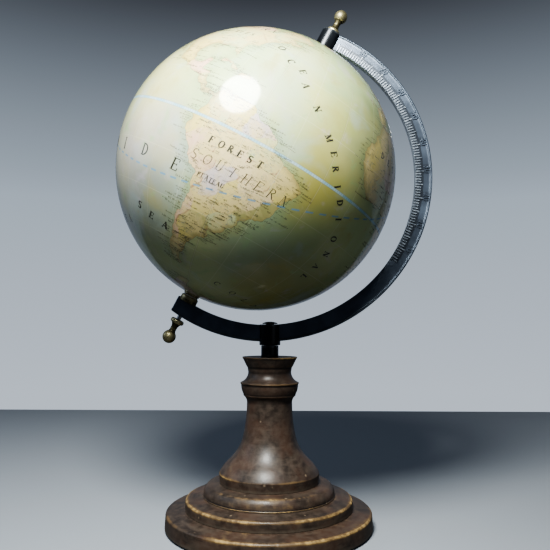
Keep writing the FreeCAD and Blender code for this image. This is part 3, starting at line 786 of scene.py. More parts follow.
# The map: printed paper gores pasted over the shells and sealed under a thick clear varnish. It is an old
# style sheet with parchment lands, pale green seas, a grid every 15 degrees and a blue equator band.
map_turn = 25
shores = {
    "south_america": [
        (8.5, -77.5), (10.6, -75.5), (11.3, -74.2), (12.2, -71.8), (10.9, -71.6), (11.2, -70),
        (10.6, -66), (10.6, -62.2), (8.6, -60.2), (6.8, -58), (5.8, -54), (4.4, -51.6), (1.8, -50),
        (0, -50.3), (-1, -48), (-2.6, -44.3), (-2.9, -41), (-4.8, -37.2), (-7.2, -34.8), (-9.5, -35.6),
        (-12.8, -38.3), (-16, -39), (-19.6, -39.7), (-22.4, -41.5), (-23.2, -44.5), (-25.5, -48.3),
        (-28.5, -48.8), (-32, -52), (-34.7, -54.5), (-34.4, -58.2), (-36.5, -57), (-38.5, -58.5),
        (-39, -61.8), (-41, -63), (-42.6, -64.5), (-45, -66), (-47.2, -66), (-50, -68.5),
        (-52.5, -68.6), (-54.9, -66), (-55.3, -68.5), (-53.5, -72.5), (-50.5, -75), (-46.6, -75.2),
        (-42, -74), (-37.2, -73.5), (-32, -71.6), (-27, -70.9), (-23, -70.4), (-18.4, -70.4),
        (-16, -74), (-13.6, -76.3), (-9.5, -78.4), (-6, -81), (-4, -81), (-2.6, -80), (-0.8, -80.6),
        (1.2, -79.2), (2.6, -78.3), (4, -77.4), (6.5, -77.4)],
    "north_america": [
        (7.6, -80.5), (8.3, -83), (10.3, -85.8), (12.8, -87.4), (13.8, -91), (16, -94.8), (15.8, -97),
        (18, -102.5), (20.4, -105.6), (23.2, -106.6), (26.5, -109.3), (31, -113), (31.6, -114.6),
        (28, -112.3), (24.3, -110.6), (22.9, -109.9), (25, -112.1), (28, -114.5), (32.5, -117.2),
        (34.5, -120.6), (38, -123), (43, -124.5), (48.4, -124.7), (51, -128), (55, -131),
        (58.5, -136.5), (60, -141), (59.5, -147), (59, -152), (56.5, -157), (54.8, -162), (58.5, -158),
        (60, -164.5), (62.5, -165.5), (64.5, -162), (65.6, -168), (68.5, -166), (71.2, -156.5),
        (70, -145), (69.5, -135), (70, -127), (68, -114), (67.8, -105), (68.5, -97), (71.8, -94.5),
        (69.5, -90), (68, -84), (64, -88), (61, -94), (58.7, -94.3), (56.8, -89), (55.2, -83),
        (52, -80), (54.5, -79.4), (58.5, -78), (62, -77.5), (61, -70), (58.5, -67), (60, -64.5),
        (57, -61.6), (53.5, -56), (51.5, -57), (50, -64), (49, -67), (46.5, -64.5), (45.6, -61.2),
        (43.5, -65.5), (44.6, -67), (42, -70.5), (40.5, -73.8), (37, -76), (35, -76.3), (32, -81),
        (28, -80.5), (25.3, -80.5), (28, -82.7), (30, -84), (30.3, -88), (29.2, -90.5), (29.5, -94.5),
        (26, -97.2), (22, -97.8), (19, -96), (18.4, -93), (19.2, -90.6), (21.4, -89.5), (21, -87),
        (18, -88), (15.8, -88.5), (15.4, -84), (12, -83.6), (9.2, -81.8), (9.4, -79.6), (8.4, -77.6)],
    "greenland": [
        (60, -44), (63, -51), (67, -53.7), (70.5, -54.5), (75, -58), (76.5, -69), (79, -66), (82, -58),
        (83.5, -33), (81.5, -17), (77, -19), (72.5, -22.5), (70, -23), (68, -31), (65, -40)],
    "africa": [
        (35.8, -5.9), (33, -8.6), (28, -12.5), (21, -17), (14.7, -17.4), (11, -15.2), (8, -13.2),
        (4.4, -7.6), (5, -3), (4.8, 1), (6.3, 3), (4.3, 6.2), (4.6, 9), (2.2, 9.8), (-0.8, 8.9),
        (-5, 12), (-9, 13.2), (-13, 12.8), (-17, 11.8), (-22.5, 14.5), (-28.6, 16.5), (-32, 18.2),
        (-34.3, 18.5), (-34.8, 20), (-34, 25.7), (-31, 30), (-28.5, 32.4), (-25.5, 33), (-24, 35.4),
        (-20, 34.9), (-17, 38), (-14.6, 40.7), (-10.5, 40.5), (-6.5, 39.2), (-2.5, 40.8), (2, 45.3),
        (6, 49), (11.8, 51.2), (11, 44.5), (15, 40), (18.5, 37.6), (23.5, 35.5), (27.8, 34), (30, 32.5),
        (31.2, 32.2), (31.4, 30), (31, 28), (32.8, 22), (30.5, 19.5), (32.6, 14), (33.8, 10.6),
        (37, 11), (37, 9), (36.8, 3), (35.2, -2.2)],
    "madagascar": [(-12, 49.3), (-16, 50), (-25, 47), (-25.4, 44.5), (-20, 44.3), (-16, 44.4)],
    "eurasia": [
        (36, -5.6), (37, -8.9), (43.2, -9.2), (43.4, -2), (47, -2), (48.5, -4.7), (49.5, 0),
        (51.5, 3.4), (53.6, 7), (57, 8.2), (57.5, 10.6), (54.5, 10), (54.5, 18.5), (57.5, 21.5),
        (59.4, 25), (60, 29), (60.2, 23), (63, 21.5), (65.8, 24.5), (62, 17.4), (58.8, 17.5),
        (55.6, 14), (56.5, 12.5), (59, 10.6), (58, 7), (61, 5), (64, 10), (67.5, 14.5), (70.5, 23),
        (71, 27), (69, 34), (66.5, 40), (64.5, 38), (65, 42), (68.3, 46), (68.5, 58), (73, 70),
        (71.5, 80), (75, 90), (77.5, 104), (74, 112), (73.5, 127), (71.5, 137), (72.5, 145),
        (69.8, 161), (69.5, 172), (66, 189.5), (64.5, 177.5), (61.5, 172), (60, 165), (56, 162.5),
        (51.2, 156.8), (57, 156.5), (61.5, 161), (59.5, 154), (59.3, 143), (54.5, 135.5), (52, 141),
        (46, 137.5), (43, 132), (39.5, 127.5), (37, 129.4), (34.6, 126.6), (38, 125), (39.8, 121.5),
        (40.5, 122), (39, 118), (37.6, 121.5), (35, 119.4), (31.5, 121.8), (28, 121), (24.5, 118.4),
        (22.3, 114.2), (20.5, 110), (21.5, 108), (18, 106.5), (13, 109.2), (10.5, 107), (8.8, 104.9),
        (12.6, 101), (12.5, 100), (8, 100), (4, 103.4), (1.4, 104), (3, 101), (8, 98.3), (14, 98),
        (16.5, 96), (19, 94), (22.5, 91.5), (21, 87), (17, 82.2), (13, 80.2), (8.2, 77.6), (12, 75),
        (20.5, 72.9), (23, 69), (25.2, 66), (25.3, 58), (27, 56.5), (30, 50), (29.5, 48), (24.5, 51.5),
        (24, 54), (26, 56.3), (22.5, 59.7), (17, 55.3), (12.8, 45), (21, 39), (28, 34.7), (31.3, 34.2),
        (36.5, 36), (36.3, 30.5), (38, 26.4), (40.2, 26.2), (41, 29), (41.3, 41), (45, 37), (46.5, 36),
        (46.3, 31), (43, 28), (40.8, 25), (40, 23), (37.5, 24), (36.7, 22), (39.5, 20), (42, 19.4),
        (45.5, 13.7), (44, 12.4), (42, 15), (40, 18.4), (38, 16.2), (41, 13.5), (43, 10.3), (44.3, 8.6),
        (43.2, 5), (42.5, 3.1), (39.5, -0.3), (36.8, -2.2)],
    "britain": [(50.2, -5.3), (51.2, 1.3), (53, 0.3), (56, -2.5), (58.6, -3.2), (58, -5.2), (55, -5),
                (53.3, -4.4), (51.7, -5)],
    "iceland": [(63.5, -19), (64, -22.5), (65.6, -24), (66.4, -16), (65, -13.6)],
    "japan": [(33, 131), (35, 140.5), (39, 142), (41.5, 141.3), (43.5, 145.5), (45.3, 142), (42, 140),
              (39, 140), (36, 136), (35.5, 133)],
    "borneo": [(6.9, 116.8), (4, 118), (0.8, 118.5), (-3.8, 115), (-2.8, 110.3), (1.5, 109.2),
               (3.5, 112.8)],
    "sumatra": [(5.6, 95.3), (3, 99.8), (-1, 104), (-5.8, 105.8), (-2, 101)],
    "java": [(-6, 105.5), (-6.8, 112), (-8.2, 114.5), (-7.9, 110)],
    "new_guinea": [(-0.6, 132), (-3, 138), (-5, 144.5), (-10.5, 150.5), (-8.5, 143), (-8, 138.5),
                   (-4, 133)],
    "philippines": [(18.5, 121), (14, 124), (7, 126.4), (7, 122), (13, 120.5)],
    "australia": [
        (-10.8, 142.5), (-16, 145.5), (-20, 148.5), (-25, 153), (-32.5, 152.5), (-37.5, 150),
        (-39, 146.4), (-38, 141), (-35, 137.8), (-32, 133), (-31.6, 129), (-34, 123), (-35, 117.5),
        (-32, 115.7), (-26, 113.5), (-22, 114), (-20, 119), (-17.5, 122.3), (-14, 126.8), (-15, 129.7),
        (-12, 131), (-12, 136.7), (-17.5, 140.8)],
    "new_zealand": [(-34.5, 173), (-37.7, 178.4), (-41.5, 175), (-46.5, 169), (-45.5, 166.6), (-41, 172),
                    (-39, 174)],
    "cuba": [(21.9, -85), (23.1, -82), (22, -78), (20.2, -74.3), (20, -77.5), (21.8, -79)],
    "hispaniola": [(19.8, -73), (19.6, -69.8), (18.4, -68.5), (18, -71.5), (18.3, -74.3)],
    "baffin": [(73, -84), (71, -72), (66.5, -62), (63, -66), (66, -73), (69.5, -78)],
    "ellesmere": [(76.5, -80), (80, -90), (83, -70), (79, -75)],
    "antarctica": [
        (-78, -180), (-74, -130), (-73, -100), (-72, -80), (-64, -59), (-70, -62), (-77, -40),
        (-73, -20), (-70, 0), (-69, 30), (-66, 50), (-69, 75), (-66, 90), (-66, 120), (-67, 145),
        (-72, 170), (-78, 180), (-90, 180), (-90, -180)],
}


def crinkled(corners, chance):
    """A shore's corners with capes and bays between them, each run halved and pushed aside at random."""
    points = np.array(corners, float)
    for push in (0.10, 0.12, 0.12, 0.10):
        after = np.roll(points, -1, 0)
        run = after - points
        aside = np.stack([-run[:, 1], run[:, 0]], 1) * chance.normal(0, push, (len(points), 1))
        aside[np.abs(points[:, 0]) > 77] = 0
        points = np.stack([points, (points + after) / 2 + aside], 1).reshape(-1, 2)
    return points


def on_ball(lat, lon, radius=1.0):
    """A place on the ball in the polar frame from latitude and longitude in degrees."""
    lat, lon = np.radians(lat), np.radians(np.asarray(lon) - map_turn)
    return np.stack([np.cos(lat) * np.cos(lon), np.cos(lat) * np.sin(lon), np.sin(lat)], -1) * radius


chance = np.random.default_rng(1811)
coasts = {name: crinkled(corners, chance) for name, corners in shores.items()}
rows, columns = 270, 540
lat_lines = np.linspace(-90, 90, rows + 1)[1:-1]
lon_lines = np.linspace(-180, 180, columns, endpoint=False)
land = np.zeros((len(lat_lines), columns), int)
for coast in coasts.values():
    lat, lon = coast[:, 0], coast[:, 1]
    next_lat, next_lon = np.roll(lat, -1), np.roll(lon, -1)
    for row, line in enumerate(lat_lines):
        crossed = (lat > line) != (next_lat > line)
        at = lon[crossed] + (line - lat[crossed]) / (next_lat - lat)[crossed] * (next_lon - lon)[crossed]
        for lap in (0, -360):
            land[row] += (np.sort(at + lap)[:, None] < lon_lines).sum(0) % 2
shore_points = []
for coast in coasts.values():
    kept = coast[np.abs(coast[:, 0]) < 85]
    start, finish = on_ball(*kept.T, 100.0), on_ball(*np.roll(kept, -1, 0).T, 100.0)
    for first, last in zip(start, finish):
        span = np.linalg.norm(last - first)
        if span < 12:
            shore_points += [first + (last - first) * share
                             for share in np.arange(0, 1, 0.5 / max(span, 0.5))]
finder = KDTree(len(shore_points))
for index, point in enumerate(shore_points):
    finder.insert(point, index)
finder.balance()
lat_grid, lon_grid = (grid.ravel() for grid in np.meshgrid(lat_lines, lon_lines, indexing="ij"))
spots = np.vstack([on_ball(lat_grid, lon_grid), (0, 0, -1), (0, 0, 1)])
to_shore = np.array([finder.find(spot * 100)[2] for spot in spots])
inland = np.append(land.ravel() > 0, (True, False))
shore_distance = np.where(inland, to_shore, -to_shore)

tints = [colour(*tone) for tone in (
    (232, 212, 166), (228, 194, 168), (222, 206, 124), (204, 210, 158), (176, 172, 110), (210, 198, 196))]
regions = [
    (-5, -62, 0), (-10, -52, 0), (-16, -50, 0), (-8, -40, 2), (-22, -46, 4), (-3, -53, 3), (-9, -75, 1),
    (-15, -71, 1), (4, -73, 3), (7, -66, 2), (4, -59, 5), (-1, -78, 2), (-17, -65, 5), (-23, -58, 2),
    (-30, -54, 3), (-34, -64, 4), (-27, -64, 2), (-42, -68, 2), (-50, -71, 3), (-30, -71, 1),
    (-42, -73, 1), (15, -90, 1), (24, -102, 2), (12, -85, 3), (40, -100, 3), (35, -82, 3), (44, -72, 3),
    (42, -118, 3), (55, -100, 1), (60, -120, 2), (65, -150, 5), (62, -75, 3), (72, -40, 5), (32, -6, 4),
    (18, -10, 2), (10, -11, 4), (9, -2, 3), (28, 3, 0), (16, 8, 1), (9, 8, 4), (27, 17, 3), (26, 30, 2),
    (12, 18, 0), (13, 32, 5), (6, 20, 4), (-4, 23, 2), (8, 40, 1), (-2, 37, 3), (-12, 18, 0),
    (-14, 30, 4), (-22, 18, 2), (-22, 25, 3), (-30, 24, 1), (-18, 37, 5), (-20, 47, 2), (40, -4, 2),
    (47, 2, 1), (51, 10, 3), (43, 12, 5), (53, -2, 1), (62, 14, 2), (63, 27, 0), (50, 30, 4),
    (44, 24, 1), (57, 45, 0), (60, 80, 2), (62, 110, 3), (62, 140, 1), (65, 170, 5), (47, 68, 3),
    (46, 104, 2), (34, 90, 1), (35, 108, 0), (44, 125, 4), (22, 79, 1), (30, 70, 4), (33, 54, 3),
    (33, 44, 1), (24, 46, 2), (39, 34, 0), (17, 101, 3), (21, 96, 1), (0, 114, 4), (0, 102, 2),
    (-5, 142, 1), (36, 138, 1), (12, 123, 2), (-25, 122, 2), (-25, 134, 0), (-24, 146, 3),
    (-34, 147, 1), (-43, 171, 3), (-80, 0, 5), (-78, 90, 5), (-78, -110, 5)]
warped = (spots + 0.022 * np.sin(spots[:, [1, 2, 0]] * 23 + 1.3)
          + 0.010 * np.sin(spots[:, [2, 0, 1]] * 61 + 0.4))
nearness = np.stack([np.linalg.norm(warped - on_ball(lat, lon), axis=1) for lat, lon, _ in regions], 1)
order = np.argsort(nearness, 1)[:, :2]
first, second = np.take_along_axis(nearness, order, 1).T
region_tints = np.array([tints[tint] for _, _, tint in regions])

grid = np.arange(len(lat_lines) * columns).reshape(-1, columns)
beside = np.roll(grid, -1, 1)
faces = np.stack([grid[:-1], beside[:-1], beside[1:], grid[1:]], -1).reshape(-1, 4).tolist()
south_pole, north_pole = grid.size, grid.size + 1
faces += [(south_pole, b, a) for a, b in zip(grid[0], beside[0])]
faces += [(a, b, north_pole) for a, b in zip(grid[-1], beside[-1])]
printed_map = new_object("printed_map", spots * ball_radius, faces)
printed_map.data.transform(polar)


def painted(name, kind, values):
    """Stores a value at each point of the map for its inks."""
    attribute = printed_map.data.attributes.new(name, kind, "POINT")
    key = {"FLOAT": "value", "FLOAT_VECTOR": "vector", "FLOAT_COLOR": "color"}[kind]
    attribute.data.foreach_set(key, np.asarray(values, np.float32).ravel())


painted("shore", "FLOAT", shore_distance)
painted("border", "FLOAT", (second - first) * 50)
painted("tint", "FLOAT_COLOR", region_tints[order[:, 0]])
painted("spot", "FLOAT_VECTOR", spots)

# Washes of thin colour over the seas: (lat, lon, radius in degrees, strength, colour).
# The dark olive washes at (30, -14) and (14, -14) are painted shade on the ball's right flank as the camera
# sees it.
washes_and_shade = [
    (20, -46, 60, 0.8, (184, 204, 150)), (-16, -98, 19, 0.75, (188, 176, 182)),
    (-34, -90, 18, 0.8, (150, 158, 152)), (12, -108, 18, 0.7, (208, 204, 148)),
    (27, -45, 7, 0.7, (210, 210, 128)), (31, -31, 9, 0.75, (166, 192, 140)),
    (6, -31, 14, 0.85, (188, 182, 98)), (-7, -30, 12, 0.75, (178, 170, 88)),
    (24, -31, 8, 0.7, (186, 188, 104)), (30, -14, 13, 0.85, (134, 144, 88)),
    (14, -14, 12, 0.8, (134, 146, 96)), (21, -60, 12, 0.6, (196, 212, 180)),
    (-20, -32, 12, 0.6, (142, 160, 112)), (-34, -38, 15, 0.75, (150, 170, 138)),
    (-40, -8, 20, 0.7, (136, 138, 84)), (36, -58, 10, 0.6, (206, 220, 184)),
    (-20, 70, 26, 0.8, (200, 206, 150)), (10, 160, 30, 0.7, (196, 200, 170)),
    (-30, -140, 30, 0.7, (198, 190, 180)), (-55, 60, 22, 0.7, (170, 186, 160)),
    (40, 170, 24, 0.7, (206, 204, 140))]
wash_and_shade = np.tile(colour(190, 202, 142), (len(spots), 1))
for lat, lon, radius, strength, tone in washes_and_shade:
    away = np.linalg.norm(warped - on_ball(lat, lon), axis=1) / math.radians(radius)
    share = strength * np.exp(-away ** 4)[:, None]
    wash_and_shade = wash_and_shade * (1 - share) + np.array(colour(*tone)) * share
painted("wash_and_shade", "FLOAT_COLOR", wash_and_shade)


def map_inks():
    """The printed colours, with the painted shade in the sea washes, from the stored values: seas, halos,
    tinted lands, borders, grid and band.
    """
    material, shader, surface = new_material("varnished_map")

    def stored(name, output):
        return shader.node("ShaderNodeAttribute", {"attribute_name": name}).outputs[output]

    spot, shore, border = stored("spot", "Vector"), stored("shore", "Fac"), stored("border", "Fac")
    x, y, z = shader.node("ShaderNodeSeparateXYZ", Vector=spot).outputs
    cloud = shader.noise(spot, 2.1, 3.0, 0.5, 0.3)
    shifted = shader.node("ShaderNodeVectorMath", {"operation": "ADD"})
    shader.feed(shifted.inputs[0], spot)
    shifted.inputs[1].default_value = (7.3, 2.9, 5.1)
    drift = shader.noise(shifted.outputs[0], 3.4, 3.0, 0.5, 0.4)
    wisp = shader.noise(shifted.outputs[0], 6.5, 5.0, 0.6, 0.5)
    grit = shader.noise(spot, 60, 5.0, 0.65)
    # The sea washes carry painted shade on the ball's right flank.
    sea = shader.mix(shader.times(shader.ramp(cloud, 0.42, 0.64), 0.3), stored("wash_and_shade", "Color"),
                     colour(214, 210, 150))
    sea = shader.tinted(sea, shader.ramp(drift, 0.54, 0.72), 0.45, (184, 172, 92))
    sea = shader.tinted(sea, shader.ramp(drift, 0.46, 0.30), 0.40, (182, 200, 204))
    sea = shader.tinted(sea, shader.ramp(wisp, 0.56, 0.72), 0.35, (206, 194, 206))
    sea = shader.tinted(sea, shader.ramp(wisp, 0.42, 0.28), 0.50, (158, 194, 136))
    ragged = shader.plus(shore, shader.times(shader.minus(grit, 0.5), 1.6))
    on_land = shader.ramp(ragged, -0.12, 0.12)
    halo = shader.times(shader.ramp(ragged, -6.5, -0.3), shader.ramp(wisp, 0.30, 0.62))
    sea = shader.tinted(sea, halo, 0.34, (132, 152, 112))
    earth = shader.mix(shader.ramp(wisp, 0.36, 0.66), stored("tint", "Color"), colour(222, 204, 144))
    rim = shader.times(shader.ramp(ragged, 3.4, 0.2), shader.ramp(drift, 0.35, 0.6))
    earth = shader.tinted(earth, rim, 0.65, (166, 150, 86))
    relief = shader.noise(spot, 26, 6.0, 0.7, 0.8)
    earth = shader.tinted(earth, shader.ramp(relief, 0.55, 0.68), 0.45, (150, 132, 92))
    course = shader.noise(spot, 7.5, 4.0, 0.6, 0.6)
    river = shader.ramp(shader.maths("ABSOLUTE", shader.minus(course, 0.5)), 0.006, 0.002)
    earth = shader.tinted(earth, river, 0.5, (120, 140, 150))
    frontier = shader.times(shader.ramp(border, 0.32, 0.08), 0.7)
    earth = shader.mix(frontier, earth, colour(168, 120, 96))
    ink = shader.mix(on_land, sea, earth)
    shoreline = shader.ramp(shader.maths("ABSOLUTE", ragged), 0.30, 0.08)
    ink = shader.tinted(ink, shoreline, 0.42, (104, 102, 80))

    lat = shader.times(shader.maths("ARCSINE", z), 180 / math.pi)
    lon = shader.times(shader.maths("ARCTAN2", y, x), 180 / math.pi)
    lon = shader.plus(lon, map_turn)
    breadth = shader.maths("SQRT", shader.minus(1.0, shader.times(z, z)))
    mm_per_degree = ball_radius / MM * math.pi / 180

    def off_line(angle, every):
        """Degrees to the nearest whole multiple of every."""
        nearest = shader.maths("SNAP", shader.plus(angle, every / 2), every)
        return shader.maths("ABSOLUTE", shader.minus(angle, nearest))

    parallel = shader.times(off_line(lat, 15), mm_per_degree)
    meridian = shader.times(shader.times(off_line(lon, 15), mm_per_degree), breadth)
    line = shader.ramp(shader.maths("MINIMUM", parallel, meridian), 0.34, 0.14)
    ink = shader.tinted(ink, line, 0.20, (236, 234, 204))
    gore = shader.times(shader.times(off_line(lon, 30), mm_per_degree), breadth)
    seam = shader.ramp(shader.maths("ABSOLUTE", shader.minus(gore, 0.4)), 0.3, 0.1)
    ink = shader.tinted(ink, seam, 0.18, (130, 118, 90))

    from_equator = shader.maths("ABSOLUTE", shader.times(lat, mm_per_degree))
    five = shader.maths("FLOORED_MODULO", shader.maths("DIVIDE", lon, 5.0), 2.0)
    band_blue = shader.mix(shader.ramp(five, 0.98, 1.02), colour(162, 202, 214), colour(184, 212, 218))
    tick = shader.ramp(shader.times(off_line(lon, 1), mm_per_degree), 0.22, 0.1)
    band_blue = shader.tinted(band_blue, tick, 0.35, (86, 112, 130))
    ink = shader.mix(shader.ramp(from_equator, 0.92, 0.66), ink, band_blue)
    rule = shader.ramp(shader.maths("ABSOLUTE", shader.minus(from_equator, 0.92)), 0.2, 0.08)
    ink = shader.tinted(ink, rule, 0.4, (112, 138, 150))
    swing = shader.maths("SINE", shader.maths("RADIANS", lon))
    ecliptic = shader.minus(lat, shader.times(swing, 23.4))
    ecliptic = shader.maths("ABSOLUTE", shader.times(ecliptic, mm_per_degree * 0.94))
    dash = shader.maths("FLOORED_MODULO", shader.maths("DIVIDE", lon, 5.0), 1.0)
    dash = shader.times(shader.ramp(dash, 0.02, 0.08), shader.ramp(dash, 0.62, 0.56))
    path = shader.times(shader.ramp(ecliptic, 0.62, 0.42), dash)
    ink = shader.tinted(ink, path, 0.85, (112, 158, 190))

    stain = shader.noise(spot, 11, 6.0, 0.7)
    ink = shader.tinted(ink, shader.ramp(stain, 0.55, 0.75), 0.30, (176, 160, 104))
    ink = shader.tinted(ink, shader.ramp(grit, 0.60, 0.78), 0.25, (140, 128, 90))
    shader.feed(surface.inputs["Base Color"], ink)
    shader.feed(surface.inputs["Roughness"], shader.plus(0.34, shader.times(grit, 0.2)))
    surface.inputs["Coat Weight"].default_value = 1.0
    surface.inputs["Coat Roughness"].default_value = 0.09
    height = shader.minus(shader.times(stain, 0.4), seam)
    bump = shader.node("ShaderNodeBump", Strength=0.2, Distance=0.00012, Height=height)
    shader.feed(surface.inputs["Normal"], bump.outputs[0])
    return material


printed_map.data.materials.append(map_inks())
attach(printed_map, "globe")
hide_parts("north_map_paper", "south_map_paper")


# The map's lettering: engraved roman capitals for the seas and lands, and crowds of names too small to
# read along the shores. Each stroke is a film of ink on the varnish, closed and a few hundredths thick.
thick, thin = 0.16, 0.06


def stem(x, foot=0.0, head=1.0, weight=None):
    """An upright stroke with a serif at each end."""
    strokes = [[(x, foot), (x, head)], weight or thick]
    flats = [[[(x - 0.15, y), (x + 0.15, y)], thin] for y in (foot + thin / 2, head - thin / 2)]
    return [strokes] + flats


def slope(x0, y0, x1, y1, weight):
    return [[[(x0, y0), (x1, y1)], weight]]


def arm_of(x0, x1, y, drop):
    """A thin level stroke with a beak at its free end."""
    return [[[(x0, y), (x1, y)], thin], [[(x1, y), (x1, y + drop)], thin * 1.2]]


def bow_of(x, y, wide, high, start, finish):
    """Part of an oval whose sides are thick and whose top and foot are thin."""
    pieces = []
    angles = np.radians(np.linspace(start, finish, max(4, int(abs(finish - start) / 22))))
    for a, b in zip(angles[:-1], angles[1:]):
        weight = thin + (thick - thin) * abs(math.cos((a + b) / 2))
        ends = [(x + wide * math.cos(t), y + high * math.sin(t)) for t in (a, b)]
        pieces.append([ends, weight])
    return pieces


capitals = {
    "A": slope(0.06, 0, 0.36, 1, thin) + slope(0.36, 1, 0.68, 0, thick)
    + slope(0.17, 0.34, 0.57, 0.34, thin) + slope(-0.05, 0.03, 0.18, 0.03, thin)
    + slope(0.54, 0.03, 0.82, 0.03, thin),
    "C": bow_of(0.40, 0.5, 0.34, 0.48, 48, 312) + slope(0.64, 0.68, 0.66, 0.98, thin),
    "D": stem(0.12) + bow_of(0.16, 0.5, 0.50, 0.47, -90, 90),
    "E": stem(0.12) + arm_of(0.12, 0.60, 0.97, -0.2) + slope(0.12, 0.52, 0.46, 0.52, thin)
    + slope(0.46, 0.42, 0.46, 0.62, thin) + arm_of(0.12, 0.63, 0.03, 0.22),
    "F": stem(0.12) + arm_of(0.12, 0.58, 0.97, -0.2) + slope(0.12, 0.52, 0.44, 0.52, thin)
    + slope(0.44, 0.42, 0.44, 0.62, thin),
    "H": stem(0.12) + stem(0.64) + slope(0.12, 0.52, 0.64, 0.52, thin),
    "I": stem(0.15),
    "L": stem(0.12) + arm_of(0.12, 0.60, 0.03, 0.24),
    "M": stem(0.10, weight=thin) + slope(0.12, 1, 0.44, 0.06, thick)
    + slope(0.44, 0.06, 0.76, 1, thin) + stem(0.78),
    "N": stem(0.10, weight=thin) + slope(0.10, 1, 0.66, 0, thick) + stem(0.66, 0.3, 1.0, thin),
    "O": bow_of(0.40, 0.5, 0.35, 0.48, 0, 360),
    "P": stem(0.12) + bow_of(0.20, 0.74, 0.34, 0.24, -95, 90) + slope(0.12, 0.97, 0.22, 0.97, thin),
    "R": stem(0.12) + bow_of(0.20, 0.75, 0.32, 0.23, -95, 90) + slope(0.12, 0.97, 0.22, 0.97, thin)
    + slope(0.30, 0.52, 0.66, 0.02, thick),
    "S": bow_of(0.34, 0.74, 0.24, 0.24, 30, 250) + bow_of(0.34, 0.26, 0.25, 0.25, 100, -150)
    + slope(0.24, 0.56, 0.46, 0.44, thick),
    "T": stem(0.36, head=0.97) + slope(0.03, 0.97, 0.69, 0.97, thin) + slope(0.03, 0.97, 0.03, 0.78, thin)
    + slope(0.69, 0.97, 0.69, 0.78, thin),
    "U": stem(0.12, 0.28, 1.0) + stem(0.62, 0.28, 1.0, thin) + bow_of(0.37, 0.3, 0.25, 0.29, 180, 360),
    "W": slope(0.02, 1, 0.27, 0, thick) + slope(0.27, 0, 0.50, 1, thin) + slope(0.50, 1, 0.74, 0, thick)
    + slope(0.74, 0, 0.98, 1, thin),
}


def inked(lat, lon, lean_to, strokes, size, slant=0.0, boldness=1.0, centre=0.37):
    """Closed ink strokes on the ball, the letter's foot lean_to degrees anticlockwise from due east."""
    up_normal = on_ball(lat, lon)
    east = np.cross((0, 0, 1), up_normal)
    east /= np.linalg.norm(east)
    north = np.cross(up_normal, east)
    lean_to = math.radians(lean_to)
    right = math.cos(lean_to) * east + math.sin(lean_to) * north
    top = math.cos(lean_to) * north - math.sin(lean_to) * east
    shapes = []
    for ends, weight in strokes:
        (x0, y0), (x1, y1) = ends
        span = math.hypot(x1 - x0, y1 - y0) * size
        parts = max(1, math.ceil(span / 1.8))
        weight = min(weight * boldness, 0.3)
        line = np.array((x1 - x0, y1 - y0)) / max(math.hypot(x1 - x0, y1 - y0), 1e-6)
        side = np.array((-line[1], line[0])) * weight / 2
        rails = []
        for share in np.linspace(0, 1, parts + 1):
            middle = np.array((x0 + (x1 - x0) * share, y0 + (y1 - y0) * share))
            corners = []
            for flank, radius in ((-1, 99.98), (1, 99.98), (1, 100.035), (-1, 100.035)):
                x, y = middle + flank * side
                x, y = (x - centre + slant * (y - 0.5)) * size, (y - 0.5) * size
                place = up_normal * 100 + right * x + top * y
                corners.append(place / np.linalg.norm(place) * radius)
            rails.append(corners)
        faces = [(0, 1, 2, 3), tuple(4 * parts + k for k in (3, 2, 1, 0))]
        for ring in range(parts):
            for k in range(4):
                a, b = 4 * ring + k, 4 * ring + (k + 1) % 4
                faces.append((a, a + 4, b + 4, b))
        shapes.append(([corner for corners in rails for corner in corners], faces))
    return shapes


def word_along(text, way, size, slant=0.0, boldness=1.0):
    """Capitals evenly spread along a way of (lat, lon) places, each standing square to it."""
    way = np.array(way, float)
    shares = np.linspace(0, len(way) - 1, len(text)) if len(text) > 1 else [0]
    whole = np.arange(len(way))
    lats = np.interp(shares, whole, way[:, 0])
    lons = np.interp(shares, whole, way[:, 1])
    shapes = []
    for index, (letter, lat, lon) in enumerate(zip(text, lats, lons)):
        near, far = max(index - 1, 0), min(index + 1, len(text) - 1)
        rise = lats[far] - lats[near]
        run = (lons[far] - lons[near]) * math.cos(math.radians(lat))
        heading = math.degrees(math.atan2(rise, run)) if len(text) > 1 else 0
        if letter in capitals:
            shapes += inked(lat, lon, heading, capitals[letter], size, slant, boldness)
    return shapes


